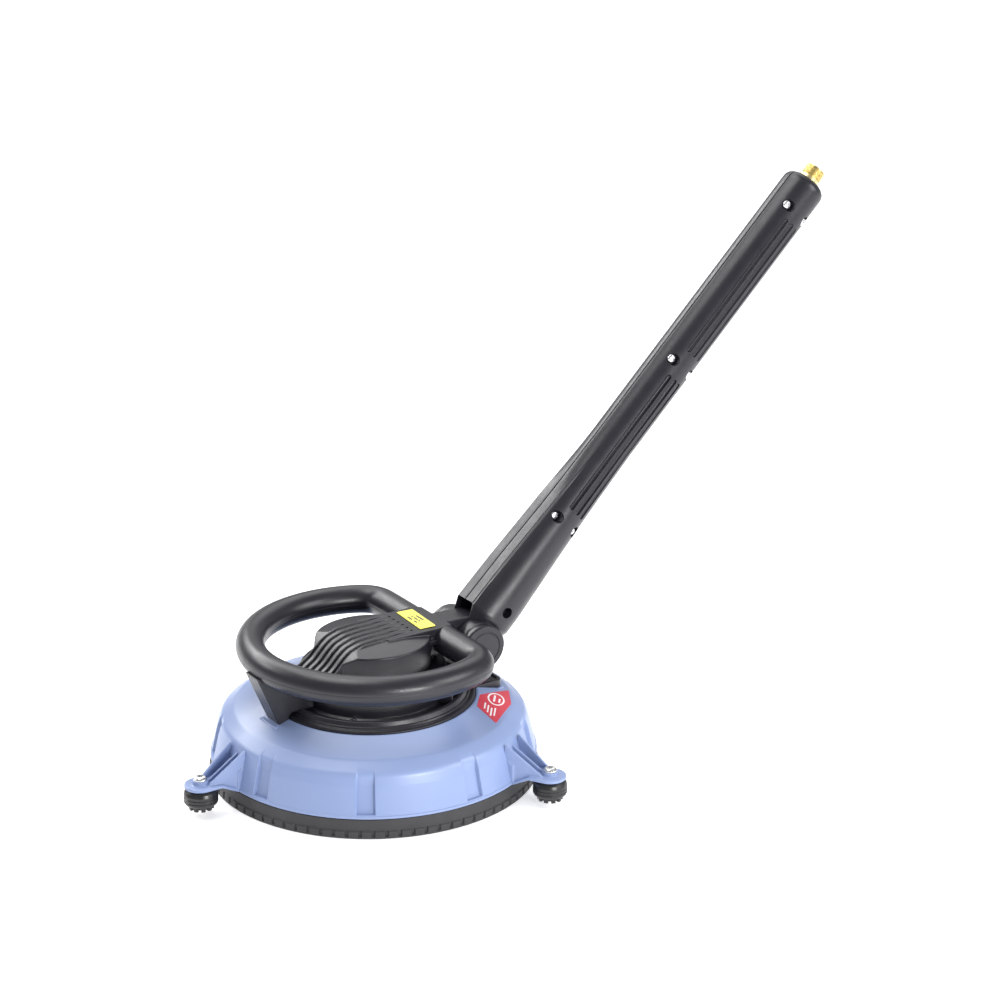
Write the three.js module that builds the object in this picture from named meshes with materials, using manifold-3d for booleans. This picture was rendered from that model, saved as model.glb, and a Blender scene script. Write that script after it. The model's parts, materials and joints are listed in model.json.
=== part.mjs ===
// Rotary surface cleaner for a pressure washer.
// Millimetres, +Z up. The origin is the centre of the cleaning disc on the floor.
// The wand leans towards +X, and the object is mirrored about the plane Y = 0 apart from its screws.

import * as THREE from 'three';
import { mergeVertices } from 'three/addons/utils/BufferGeometryUtils.js';
import Module from 'manifold-3d';

const wasm = await Module();
wasm.setup();

// Driving dimensions
const GAP = 0.3; // between pieces that touch
const WALL = 3; // moulded walls
const SEGMENTS = 36; // round the large rings

const SKIRT_R = 164.2;
const SKIRT_TOP = 19.5;
const SHROUD_BOTTOM = 19.8;
const SHROUD_FOOT_R = 161.9;
const SHROUD_WALL_R = 155;
const SHROUD_SHOULDER_Z = 55;
const SHROUD_TOP_Z = 80;
const OPENING_R = 102;
const SEAT_Z = 73.7; // step inside the opening, for the flange
const SEAT_R = 72;
const GRIP_R = 142.5; // rib under the roof that holds the skirt's lip

const ARM_ANGLES = [180, 300, 60];
const CHANNELS = 9;
const CHANNEL_START = 36; // degrees
const CHANNEL_WIDTH = 17;
const ROLLER_R = 194.9; // where the guide rollers stand
const LUG_R = 16.2;
const LUG_BOTTOM = 28.2; // the arm's floor rises to here from the shroud's foot
const LUG_THICK = 3.2;
const ARM_HALF = 15.6; // where the arm meets the wall
const BOSS_R = 7.6;
const BOSS_TOP = 35.5;

const DONUT_R = 17.3;
const ROLLER_TOP = 27.6;
const ROLLER_BOTTOM = 6.1;
const ROLLER_WEB = 10.2; // the nut sits in a pocket below it

const FLANGE_TOP = 82.5;
const RIM_R = 90;
const RIM_Z = 88.6;
const LOWER_DRUM_R = 73;
const LOWER_DRUM_TOP = 112;
const DRUM_R = 57;
const DRUM_TOP = 139.5;
const DOME_TOP = 146.4;
const NECK_END = 74;
const NECK_HALF = 31;
const TONGUE_HALF = 13;
const BARREL_R = 28;

const RING_R = 120.5; // centre line of the handle
const RING_Z = 132.6;
const RING_SLOPE = 0.02; // it sinks slightly towards the wand
const RING_TUBE_R = 14.6;
const BAR_X = 66;
const BEND_R = 25;

const PIVOT = { x: 109, z: 114 };
const WAND_RISE = 44.35; // degrees above the floor at rest
const WAND_LENGTH = 588; // from the pivot to the end cap
const WAND_R = 23.2;
const FORK_R = 31;
const KNUCKLE_R = 25;
const MOUTH = 29; // length of the tongue's slot along the wand
const SCREW_STATIONS = [150, 350, 550];
const SCREW_OFFSET = 14.5;
const PIPE_R = 7;
const PIPE_BORE_R = 5.6;

const SCREW_R = 79.5;
const SCREW_ANGLES = [30, 135, 225, 330]; // of the flange screws
const RED_ANGLE = -38;

const FEED_Z = 118; // pipe from the pivot to the rotary union

const SPINDLE_R = 8;
const ROTOR_Z = 32; // height of the spray bar
const ROTOR_REACH = 128; // from the axis to each nozzle

// Materials
const plastic = (color, roughness) => new THREE.MeshStandardMaterial({ color, roughness, metalness: 0 });
const metal = (color, roughness) => new THREE.MeshStandardMaterial({ color, roughness, metalness: 1 });
const BLUE = plastic(0x8fa3da, 0.42);
const BLACK = plastic(0x2b2b30, 0.45);
const RUBBER = plastic(0x222224, 0.75);
const YELLOW = plastic(0xf2e85c, 0.4);
const RED = plastic(0xc9404e, 0.35);
const BRASS = metal(0xd8b45a, 0.3);
const STEEL = metal(0xc4c6c8, 0.3);
const ALLOY = metal(0xa9adb0, 0.45);

// Solids
const radians = THREE.MathUtils.degToRad;

function signedVolume(points, corners) {
  const a = new THREE.Vector3();
  const b = new THREE.Vector3();
  const c = new THREE.Vector3();
  let volume = 0;
  for (let i = 0; i < corners.length; i += 3) {
    a.fromArray(points, 3 * corners[i]);
    b.fromArray(points, 3 * corners[i + 1]);
    c.fromArray(points, 3 * corners[i + 2]);
    volume += a.dot(b.cross(c));
  }
  return volume;
}

function solid(geometry) {
  const bare = geometry.clone();
  bare.deleteAttribute('normal');
  bare.deleteAttribute('uv');
  const merged = mergeVertices(bare, 1e-3);
  const points = Float32Array.from(merged.attributes.position.array);
  const corners = [];
  const index = merged.index.array;
  for (let i = 0; i < index.length; i += 3) {
    const [a, b, c] = [index[i], index[i + 1], index[i + 2]];
    if (a !== b && b !== c && c !== a) corners.push(a, b, c);
  }
  if (signedVolume(points, corners) < 0) corners.reverse();
  return new wasm.Manifold(
    new wasm.Mesh({ numProp: 3, vertProperties: points, triVerts: Uint32Array.from(corners) }),
  );
}

function geometryOf(body) {
  const { vertProperties, triVerts, numProp } = body.getMesh();
  const geometry = new THREE.BufferGeometry();
  const points = new Float32Array((vertProperties.length / numProp) * 3);
  for (let i = 0; i < points.length / 3; i += 1) {
    for (let k = 0; k < 3; k += 1) points[3 * i + k] = vertProperties[numProp * i + k];
  }
  geometry.setAttribute('position', new THREE.BufferAttribute(points, 3));
  geometry.setIndex(Array.from(triVerts));
  geometry.computeVertexNormals();
  return geometry;
}

const join = (...bodies) => bodies.reduce((a, b) => a.add(b));
const cut = (body, ...tools) => tools.reduce((a, b) => a.subtract(b), body);

function turned(profile, segments = 48) {
  const closed = profile.map(([r, z]) => new THREE.Vector2(r, z));
  return solid(new THREE.LatheGeometry(closed, segments).rotateX(Math.PI / 2));
}

// A ring or disc about Z between two heights
function disc(outer, bottom, top, segments = 32, inner = 0) {
  const ends = [[inner, bottom], [outer, bottom], [outer, top], [inner, top]];
  return turned(inner > 0 ? [...ends, ends[0]] : ends, segments);
}

// The same along Y, about the point (x, z)
function crossDisc(outer, y0, y1, x, z, segments = 32, inner = 0) {
  return disc(outer, y0, y1, segments, inner).rotate([-90, 0, 0]).translate([x, 0, z]);
}

function box(x0, x1, y0, y1, z0, z1) {
  const geometry = new THREE.BoxGeometry(x1 - x0, y1 - y0, z1 - z0);
  return solid(geometry.translate((x0 + x1) / 2, (y0 + y1) / 2, (z0 + z1) / 2));
}

function outline(points) {
  return new THREE.Shape(points.map(([x, y]) => new THREE.Vector2(x, y)));
}

// An outline in X and Y, raised from z0 to z1
function plate(shape, z0, z1, curveSegments = 8) {
  const options = { depth: z1 - z0, bevelEnabled: false, curveSegments };
  const geometry = new THREE.ExtrudeGeometry(shape, options);
  return solid(geometry.translate(0, 0, z0));
}

// An outline in X and Z, running from y0 to y1
function slab(points, y0, y1) {
  const geometry = new THREE.ExtrudeGeometry(outline(points), { depth: y1 - y0, bevelEnabled: false });
  return solid(geometry.rotateX(Math.PI / 2).translate(0, y1, 0));
}

function roundedRectangle(x0, x1, y0, y1, r) {
  const shape = new THREE.Shape();
  shape.absarc(x1 - r, y0 + r, r, -Math.PI / 2, 0);
  shape.absarc(x1 - r, y1 - r, r, 0, Math.PI / 2);
  shape.absarc(x0 + r, y1 - r, r, Math.PI / 2, Math.PI);
  shape.absarc(x0 + r, y0 + r, r, Math.PI, 1.5 * Math.PI);
  return shape;
}

function turnedAbout(body, degrees) {
  return body.rotate([0, 0, degrees]);
}

function atScrews(body) {
  return SCREW_ANGLES.map((angle) => turnedAbout(body.translate([SCREW_R, 0, 0]), angle));
}

// Nodes
const cleaner = new THREE.Group();
cleaner.name = 'surface_cleaner';
const wand = new THREE.Group();
wand.name = 'wand';
wand.position.set(PIVOT.x, 0, PIVOT.z);
wand.rotation.y = -radians(WAND_RISE);
cleaner.add(wand);

function node(name, material, body, group = cleaner) {
  const mesh = new THREE.Mesh(geometryOf(body), material);
  mesh.name = name;
  group.add(mesh);
}

// Shroud, with its three arms
function shroudShell() {
  return turned([
    [SHROUD_FOOT_R - WALL, SHROUD_BOTTOM],
    [SHROUD_FOOT_R, SHROUD_BOTTOM],
    [SHROUD_WALL_R, 50],
    [SHROUD_WALL_R - 3, SHROUD_SHOULDER_Z + 3],
    [SHROUD_WALL_R - 8.5, SHROUD_SHOULDER_Z + 10],
    [138, 70],
    [OPENING_R, SHROUD_TOP_Z],
    [OPENING_R, SEAT_Z],
    [SEAT_R, SEAT_Z],
    [SEAT_R, SEAT_Z - WALL],
    [OPENING_R + 8, SEAT_Z - WALL],
    [GRIP_R - 1, 65.5],
    [GRIP_R, 23],
    [GRIP_R + WALL, 23],
    [GRIP_R + WALL, 60],
    [SHROUD_WALL_R - 7, SHROUD_SHOULDER_Z + 3],
    [SHROUD_WALL_R - WALL, 46],
    [SHROUD_FOOT_R - WALL, SHROUD_BOTTOM],
  ], SEGMENTS);
}

// A channel's back wall stands inside the shroud, and its cutter leans with the wall
function channelBack(angle) {
  const half = CHANNEL_WIDTH / 2 + WALL;
  const back = slab([[150.5, 23], [159.5, 23], [153, 50], [148, 60], [147, 60]], -half, half);
  return turnedAbout(back, angle);
}

function channelCutter(angle) {
  const half = CHANNEL_WIDTH / 2;
  return turnedAbout(slab([[157, 24], [170, 24], [170, 75], [146, 67], [152, 52]], -half, half), angle);
}

function arm() {
  const root = 149;
  const face = SHROUD_FOOT_R + 0.4; // upright pad on the wall that the arm grows from
  const tip = ROLLER_R;
  const footprint = new THREE.Shape();
  footprint.moveTo(root, -ARM_HALF);
  footprint.lineTo(face, -ARM_HALF);
  footprint.absarc(tip, 0, LUG_R, -0.5 * Math.PI, 0.5 * Math.PI);
  footprint.lineTo(face, ARM_HALF);
  footprint.lineTo(root, ARM_HALF);
  const lower = [
    [root, SHROUD_BOTTOM],
    [face, SHROUD_BOTTOM],
    [tip - 16, LUG_BOTTOM],
    [tip + 20, LUG_BOTTOM],
  ];
  const upper = lower.map(([x, z]) => [x, z + LUG_THICK]).reverse();
  const floor = slab([...lower, ...upper], -20, 20).intersect(plate(footprint, 0, 60));
  const padSide = [[root, 20], [face, 20], [face, 51], [157.5, 56.5], [150, 60], [root, 60]];
  const pad = slab(padSide, -ARM_HALF, ARM_HALF);
  const inFloor = [[face - 1, 22.4], [tip - 16, 29.2], [tip - 7, 29.6]];
  const profile = [...inFloor, [tip - 4, 29.6], [tip - 4, 32.4], [face - 1, 56]];
  const walls = [-1, 1].map((side) => {
    const outside = [[root, side * ARM_HALF], [tip, side * 9.8]];
    const strip = outline([...outside, [tip, side * 7.2], [root, side * (ARM_HALF - 2.6)]]);
    return slab(profile, -20, 20).intersect(plate(strip, 0, 70));
  });
  const rib = slab([...inFloor, [tip - 7, 32.8], [face - 1, 50]], -0.5, 1.9);
  const boss = disc(BOSS_R, LUG_BOTTOM, BOSS_TOP, 14).translate([tip, 0, 0]);
  const bolt = disc(3.3, 0, 60, 12).translate([tip, 0, 0]);
  return cut(join(floor, pad, ...walls, rib, boss), bolt);
}

function footPlateShape(grow) {
  return roundedRectangle(64 - grow, 123 + grow, -48 - grow, 48 + grow, 9 + grow);
}

function shroud() {
  const angles = Array.from({ length: CHANNELS }, (_, i) => CHANNEL_START + (360 / CHANNELS) * i);
  const arms = ARM_ANGLES.map((angle) => turnedAbout(cut(arm(), disc(151, 0, 80, SEGMENTS)), angle));
  const shell = join(shroudShell(), ...angles.map(channelBack));
  const body = cut(shell, ...angles.map(channelCutter));
  const legSeat = box(-118, -98, -16.5, 16.5, SEAT_Z - WALL, SEAT_Z);
  const legLip = box(-118, -103, -15, 15, SEAT_Z - 1, SEAT_Z + 2);
  const rearSeat = cut(plate(footPlateShape(WALL), SEAT_Z - WALL, SEAT_Z + 0.1), disc(98, 60, 90, SEGMENTS));
  const legPocket = box(-115, -90, -12.4, 12.4, SEAT_Z, 90);
  const rearPocket = plate(footPlateShape(GAP), SEAT_Z, 90);
  const bosses = atScrews(disc(5.5, 61, SEAT_Z, 16));
  const holes = atScrews(disc(2.4, 62.5, 90, 12));
  return cut(join(body, ...arms, legSeat, legLip, rearSeat, ...bosses), legPocket, rearPocket, ...holes);
}

node('shroud', BLUE, shroud());

// Skirt
function skirt() {
  return turned([
    [SKIRT_R - 5.5, 0],
    [SKIRT_R, 0],
    [SKIRT_R, 7.2],
    [SKIRT_R - 1.2, 8],
    [SKIRT_R - 2.2, SKIRT_TOP],
    [149, SKIRT_TOP],
    [149, 28],
    [146, 28],
    [146, SKIRT_TOP - 3],
    [SKIRT_R - 5.5, SKIRT_TOP - 3],
    [SKIRT_R - 5.5, 0],
  ], SEGMENTS);
}

node('skirt_ring', RUBBER, skirt());

// Centre housing
function flange() {
  const base = turned([
    [66, 74],
    [OPENING_R - 0.4, 74],
    [OPENING_R - 0.4, 81],
    [98.5, FLANGE_TOP],
    [94.5, FLANGE_TOP],
    [92, RIM_Z],
    [RIM_R - 2, RIM_Z],
    [RIM_R - 4, FLANGE_TOP],
    [LOWER_DRUM_R, FLANGE_TOP],
    [LOWER_DRUM_R - 0.6, LOWER_DRUM_TOP - 1.5],
    [LOWER_DRUM_R - 2.2, LOWER_DRUM_TOP],
    [30, LOWER_DRUM_TOP],
    [30, LOWER_DRUM_TOP - WALL],
    [LOWER_DRUM_R - 4, LOWER_DRUM_TOP - WALL],
    [LOWER_DRUM_R - 4, 77.5],
    [66, 77.5],
    [66, 74],
  ], SEGMENTS);
  const footPlate = plate(footPlateShape(0), 74, 82.2, 4);
  const rearFoot = cut(footPlate, disc(90, 70, 90, SEGMENTS));
  const legSlot = box(-112, -LOWER_DRUM_R, -12.6, 12.6, 70, 120);
  const posts = [-1, 1].flatMap((side) => [300, 318].map((angle) => {
    const post = box(LOWER_DRUM_R - 2, RIM_R - 1, -1.3, 1.3, 80, 97);
    return turnedAbout(post, side > 0 ? 360 - angle : angle);
  }));
  const screwHoles = atScrews(disc(2.4, 60, 90, 12));
  return cut(join(base, rearFoot, ...posts), legSlot, ...screwHoles);
}

// The handle's bars end in spigots that sit in the neck
const BAR_SOCKET_R = 8.3;

function barSockets(r) {
  const depth = NECK_HALF - 8 + (BAR_SOCKET_R - r);
  const z = RING_Z - RING_SLOPE * BAR_X;
  const far = crossDisc(r, depth, NECK_HALF + 6, 60, z + 3, 16);
  const near = crossDisc(r, -NECK_HALF - 6, -depth, 60, z + 3, 16);
  return join(near, far);
}

// The dome's line from the front of the ribbed band to the neck
const BAND = [[-73, 112.3], [-68.5, 116.7], [-57.4, 123.8], [-47.5, 134.6], [-39.6, 140.6],
  [-25.5, 145.2], [-8.3, 146.4]];
const FLUTES = 6;

function topHousing() {
  const crown = [];
  for (let i = 0; i <= 4; i += 1) {
    const r = DRUM_R * (i / 4);
    crown.push([r, DRUM_TOP + (DOME_TOP - DRUM_TOP) * (1 - (i / 4) ** 2)]);
  }
  const drum = turned([[0, 108.6], [29, 108.6], [29, 112.3], [DRUM_R + 0.8, 112.3], ...crown.reverse()], 28);
  const chin = slab([...BAND, [-8.3, 170], [-90, 170], [-90, 112.3]], -60, 60);
  const bandEnd = [[NECK_END, DOME_TOP - 0.8], [NECK_END, 138], [20, 130], [-20, 112.3]];
  const band = slab([...BAND, ...bandEnd], -28, 28);
  const neckTop = [[0, DOME_TOP], [40, DOME_TOP - 0.3], [NECK_END, DOME_TOP - 0.8]];
  const neckSide = [[0, 131], ...neckTop, [NECK_END, 131]];
  const neckRight = [[0, -NECK_HALF], [64, -NECK_HALF], [NECK_END, -18]];
  const neckLeft = [[NECK_END, 18], [64, NECK_HALF], [0, NECK_HALF]];
  const neckPlan = outline([...neckRight, ...neckLeft]);
  const neck = slab(neckSide, -NECK_HALF, NECK_HALF).intersect(plate(neckPlan, 100, 160));
  const tongue = slab([
    [40, 118],
    [40, 144],
    [PIVOT.x - 12, PIVOT.z + BARREL_R],
    [PIVOT.x, PIVOT.z + BARREL_R],
    [PIVOT.x, PIVOT.z - BARREL_R],
    [PIVOT.x - 14, PIVOT.z - BARREL_R + 4],
    [75, 113],
    [62, 113],
  ], -TONGUE_HALF, TONGUE_HALF);
  const barrel = crossDisc(BARREL_R, -TONGUE_HALF, TONGUE_HALF, PIVOT.x, PIVOT.z, 24);
  const gusset = [[NECK_END - 6, 132], [62, 112.4], [30, 112.4], [30, 132]];
  const gussets = [-22, 19].map((y) => slab(gusset, y, y + 3));
  const grooves = Array.from({ length: FLUTES }, (_, i) => {
    const y = (i - (FLUTES - 1) / 2) * (56 / FLUTES);
    const line = [...BAND, [25, DOME_TOP]];
    const under = line.map(([x, z]) => [x + 1.2, z - 1.4]).reverse();
    const over = line.map(([x, z]) => [x - 5, z + 6]);
    return slab([...over, ...under], y - 2.2, y + 2.2);
  });
  const body = join(cut(drum, chin), band, neck, tongue, barrel, ...gussets);
  const shaftBore = disc(19.5, 100, 128, 24);
  const feedBore = box(10, PIVOT.x - 6, -5.5, 5.5, FEED_Z - 5.5, FEED_Z + 5.5);
  const pivotBore = crossDisc(9.5, -20, 20, PIVOT.x, PIVOT.z, 18);
  return cut(body, ...grooves, shaftBore, feedBore, pivotBore, barSockets(BAR_SOCKET_R));
}

// Handle
class HandleLine extends THREE.Curve {
  constructor() {
    super();
    const centreX = BAR_X - BEND_R;
    const centreY = Math.sqrt((RING_R - BEND_R) ** 2 - centreX ** 2);
    const bendEnd = Math.atan2(centreY, centreX);
    const start = NECK_HALF - 2;
    this.parts = [
      { length: centreY - start, at: (s) => [BAR_X, -start - s] },
      { length: BEND_R * bendEnd, at: (s) => this.arc(centreX, -centreY, BEND_R, -s / BEND_R) },
      { length: 2 * RING_R * (Math.PI - bendEnd), at: (s) => this.arc(0, 0, RING_R, -bendEnd - s / RING_R) },
      { length: BEND_R * bendEnd, at: (s) => this.arc(centreX, centreY, BEND_R, bendEnd - s / BEND_R) },
      { length: centreY - start, at: (s) => [BAR_X, centreY - s] },
    ];
    this.total = this.parts.reduce((sum, part) => sum + part.length, 0);
  }

  arc(x, y, r, angle) {
    return [x + r * Math.cos(angle), y + r * Math.sin(angle)];
  }

  getPoint(t, target = new THREE.Vector3()) {
    let s = t * this.total;
    let part = 0;
    while (part < 4 && s > this.parts[part].length) {
      s -= this.parts[part].length;
      part += 1;
    }
    const [x, y] = this.parts[part].at(s);
    return target.set(x, y, RING_Z - RING_SLOPE * x);
  }
}

function handleRing() {
  const section = new THREE.Shape();
  section.absarc(0, 0, RING_TUBE_R, 0, 2 * Math.PI);
  const line = new HandleLine();
  line.arcLengthDivisions = 800;
  const options = { steps: 48, curveSegments: 5, extrudePath: line, bevelEnabled: false };
  const tube = solid(new THREE.ExtrudeGeometry(section, options));
  const neckBlock = box(0, 78, -NECK_HALF - GAP, NECK_HALF + GAP, 100, 160);
  return join(cut(tube, neckBlock), barSockets(BAR_SOCKET_R - GAP));
}

function handleLeg() {
  const body = slab([
    [-137, 131],
    [-112.6, 74.5],
    [-OPENING_R + 0.2, 76.5],
    [-OPENING_R + 0.2, 84],
    [-98, 86.5],
    [-LOWER_DRUM_R - 0.5, 86.5],
    [-LOWER_DRUM_R - 0.5, 118],
    [-100, 124],
    [-107, 131],
  ], -12, 12);
  const ringZ = RING_Z + RING_SLOPE * RING_R;
  const ringHollow = turned(Array.from({ length: 17 }, (_, i) => {
    const angle = (i / 16) * 2 * Math.PI;
    const r = RING_TUBE_R + 3 * GAP;
    return [RING_R + r * Math.cos(angle), ringZ + r * Math.sin(angle)];
  }), SEGMENTS);
  const grooves = [-6, 0, 6].map((y) => slab([
    [-139, 126],
    [-114.6, 74],
    [-110, 74],
    [-133.6, 126],
  ], y - 1.2, y + 1.2));
  return cut(body, ringHollow, ...grooves);
}

function yellowLabel() {
  return box(40.5, 61, -25.5, 25.5, DOME_TOP + 0.3, DOME_TOP + 0.6);
}

// A label that lies on the shroud's cone, between two radii
function redLabel() {
  const cone = turned([
    [OPENING_R, SHROUD_TOP_Z + 0.3],
    [120, 75.6 + 0.3],
    [138, 70 + 0.3],
    [138, 70 + 0.7],
    [120, 75.6 + 0.7],
    [OPENING_R, SHROUD_TOP_Z + 0.7],
    [OPENING_R, SHROUD_TOP_Z + 0.3],
  ], 72);
  const shape = outline([[105.5, -24], [106, 2], [132, 37], [137.5, 3], [126, -47]]);
  return cone.intersect(turnedAbout(plate(shape, 60, 90), RED_ANGLE));
}

node('flange', BLACK, flange());
node('top_housing', BLACK, topHousing());
node('handle_ring', BLACK, handleRing());
node('handle_leg', BLACK, handleLeg());
node('yellow_label', YELLOW, yellowLabel());
node('red_label', RED, redLabel());

// Fasteners
function panScrew(headR, headHeight, shankR, length) {
  return turned([
    [0, -length],
    [shankR, -length],
    [shankR, 0],
    [headR, 0],
    [headR, headHeight * 0.45],
    [headR * 0.7, headHeight * 0.9],
    [0, headHeight],
  ], 10);
}

function hexNut(corner, bottom, top, bore) {
  return cut(disc(corner, bottom, top, 6), disc(bore, bottom - 1, top + 1, 12));
}

SCREW_ANGLES.forEach((angle, i) => {
  const screw = panScrew(4.6, 3, 2.1, 19).translate([SCREW_R, 0, FLANGE_TOP + GAP]);
  node(`flange_screw_${i + 1}`, STEEL, turnedAbout(screw, angle));
});

// Guide rollers
function roller() {
  const wheel = turned([
    [5.4, ROLLER_WEB],
    [7.2, ROLLER_WEB],
    [7.2, ROLLER_BOTTOM],
    [12, ROLLER_BOTTOM],
    [12, 9.4],
    [DONUT_R, 13],
    [DONUT_R, 22.4],
    [14, ROLLER_TOP],
    [5.4, ROLLER_TOP],
    [5.4, ROLLER_WEB],
  ], 14);
  const slots = Array.from({ length: 4 }, (_, i) => turnedAbout(box(-14, 14, -1.4, 1.4, 0, 8.2), i * 45));
  return cut(wheel, ...slots);
}

const bolt = panScrew(6.8, 3.4, 3, 29.4).translate([0, 0, BOSS_TOP + GAP]);
const nut = hexNut(6.2, 6.8, ROLLER_WEB - GAP, 3.3);
const bush = disc(5, ROLLER_WEB + 0.1, ROLLER_TOP + GAP, 12, 3.3);

ARM_ANGLES.forEach((angle, i) => {
  const place = (body) => turnedAbout(body.translate([ROLLER_R, 0, 0]), angle);
  node(`roller_${i + 1}`, RUBBER, place(roller()));
  node(`roller_bush_${i + 1}`, BRASS, place(bush));
  node(`roller_bolt_${i + 1}`, STEEL, place(bolt));
  node(`roller_nut_${i + 1}`, STEEL, place(nut));
});

// Rotary union under the centre housing
const UNION_BORE = 14.3;

function unionHousing() {
  const body = turned([
    [UNION_BORE, 62],
    [24, 62],
    [24, 103],
    [40, 104],
    [40, 108.3],
    [19, 108.3],
    [19, 127],
    [0, 127],
    [0, 118],
    [5, 118],
    [5, 104],
    [UNION_BORE, 104],
    [UNION_BORE, 62],
  ], 18);
  const inlet = disc(2.6, 0, 22, 12).rotate([0, 90, 0]).translate([0, 0, FEED_Z - 2]);
  return cut(body, inlet);
}

function feedPipe() {
  const length = PIVOT.x - 9.3 - 19.4;
  const pipe = disc(5, 0, length, 16, 2.5);
  return pipe.rotate([0, 90, 0]).translate([19.4, 0, FEED_Z]);
}

node('union_housing', ALLOY, unionHousing());
node('upper_bearing', STEEL, disc(14, 90, 98.7, 18, SPINDLE_R + 2 * GAP));
node('bearing_spacer', ALLOY, disc(13.8, 75.6, 89.7, 16, 11));
node('lower_bearing', STEEL, disc(14, 66.6, 75.3, 18, SPINDLE_R + 2 * GAP));
node('retaining_ring', STEEL, disc(14, 63.5, 66.3, 16, 11));
node('shaft_seal', RUBBER, disc(13.8, 99, 103.7, 14, SPINDLE_R + 2 * GAP));
node('feed_pipe', STEEL, feedPipe());

// Spinning spray bar
const HUB_TOP = 42;
const HUB_BOTTOM = 23;

function rotorShaft() {
  const body = turned([
    [0, 17.4],
    [5, 17.4],
    [5, 25],
    [SPINDLE_R - 0.3, 25],
    [SPINDLE_R - 0.3, 62],
    [SPINDLE_R, 62],
    [SPINDLE_R, 103.5],
    [3, 103.5],
    [3, ROTOR_Z],
    [0, ROTOR_Z],
  ], 14);
  const port = disc(2.5, -12, 12, 12).rotate([0, 90, 0]).translate([0, 0, ROTOR_Z + 3]);
  return cut(body, port);
}

function rotorHub() {
  const block = plate(roundedRectangle(-16, 16, -16, 16, 5), HUB_BOTTOM + 2, HUB_TOP);
  const bore = disc(SPINDLE_R, 0, 60, 14);
  const port = disc(2.5, -30, 30, 12).rotate([0, 90, 0]).translate([0, 0, ROTOR_Z + 3]);
  return cut(block, bore, port);
}

function sprayArm() {
  const start = 16.3;
  const tube = disc(5, start, ROTOR_REACH - 2, 16).rotate([0, 90, 0]).translate([0, 0, ROTOR_Z + 3]);
  const elbow = disc(7.5, 24, 43, 8).translate([ROTOR_REACH, 0, 0]);
  const bore = disc(2.5, start - 1, ROTOR_REACH, 12).rotate([0, 90, 0]).translate([0, 0, ROTOR_Z + 3]);
  const outlet = disc(4.3, 23, 37, 12).translate([ROTOR_REACH, 0, 0]);
  return cut(join(tube, elbow), bore, outlet);
}

function nozzle() {
  const outside = [[5.5, 14], [6.5, 16], [6.5, 23.7], [4, 23.7], [4, 30]];
  const body = turned([[1.2, 14], ...outside, [1.2, 30], [1.2, 14]], 12);
  return body.translate([ROTOR_REACH, 0, 0]);
}

node('rotor_shaft', STEEL, rotorShaft());
node('rotor_hub', BRASS, rotorHub());
node('rotor_nut', STEEL, hexNut(9, 17.4, 24.7, 5.3));
[0, 180].forEach((angle, i) => {
  node(`spray_arm_${i + 1}`, STEEL, turnedAbout(sprayArm(), angle));
  node(`nozzle_${i + 1}`, BRASS, turnedAbout(nozzle(), angle));
});

// Hollow pivot
function pivotTube() {
  const tube = crossDisc(9, -24.8, 26.4, 0, 0, 18);
  const bore = crossDisc(3.5, -4, 23, 0, 0, 12);
  const inPort = disc(2.5, -12, 0, 12).rotate([0, 90, 0]).translate([0, 0, FEED_Z - PIVOT.z - 2]);
  const outPort = disc(2.5, 0, 12, 12).rotate([0, 90, 0]).rotate([0, -WAND_RISE, 0]).translate([0, 19, 0]);
  return cut(tube, bore, inPort, outPort).translate([PIVOT.x, 0, PIVOT.z]);
}

node('pivot_tube', BRASS, pivotTube());

// Wand: its own group runs along +X from the pivot, with +Z on the upper side
const alongWand = (body) => body.rotate([0, 90, 0]);

const HULL = [[25.5, 14], [31, 28], [31, 46], [29.2, 80], [27.2, 120], [25, 170], [WAND_R, 245],
  [WAND_R, WAND_LENGTH - 12], [20.5, WAND_LENGTH - 3], [15, WAND_LENGTH]];

function wandHull() {
  const body = alongWand(turned([[0, 14], ...HULL, [0, WAND_LENGTH]], 20));
  const knuckle = crossDisc(KNUCKLE_R, -FORK_R, FORK_R, 0, 0, 24);
  const spine = slab([[16, 10], [24, 29.8], [80, 28.4], [150, 24.5], [230, 19.3]], -13, 13);
  return join(body, knuckle, spine);
}

function wandCavity() {
  const wall = 3.4;
  const lining = HULL.slice(2, 7).map(([r, s]) => [r - wall, s]);
  return alongWand(turned([[0, 36], [24, 36], ...lining, [WAND_R - wall, 572], [0, 572]], 12));
}

const supportR = (s) => (s < 200 ? WAND_R + 1 : WAND_R - 1);

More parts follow.
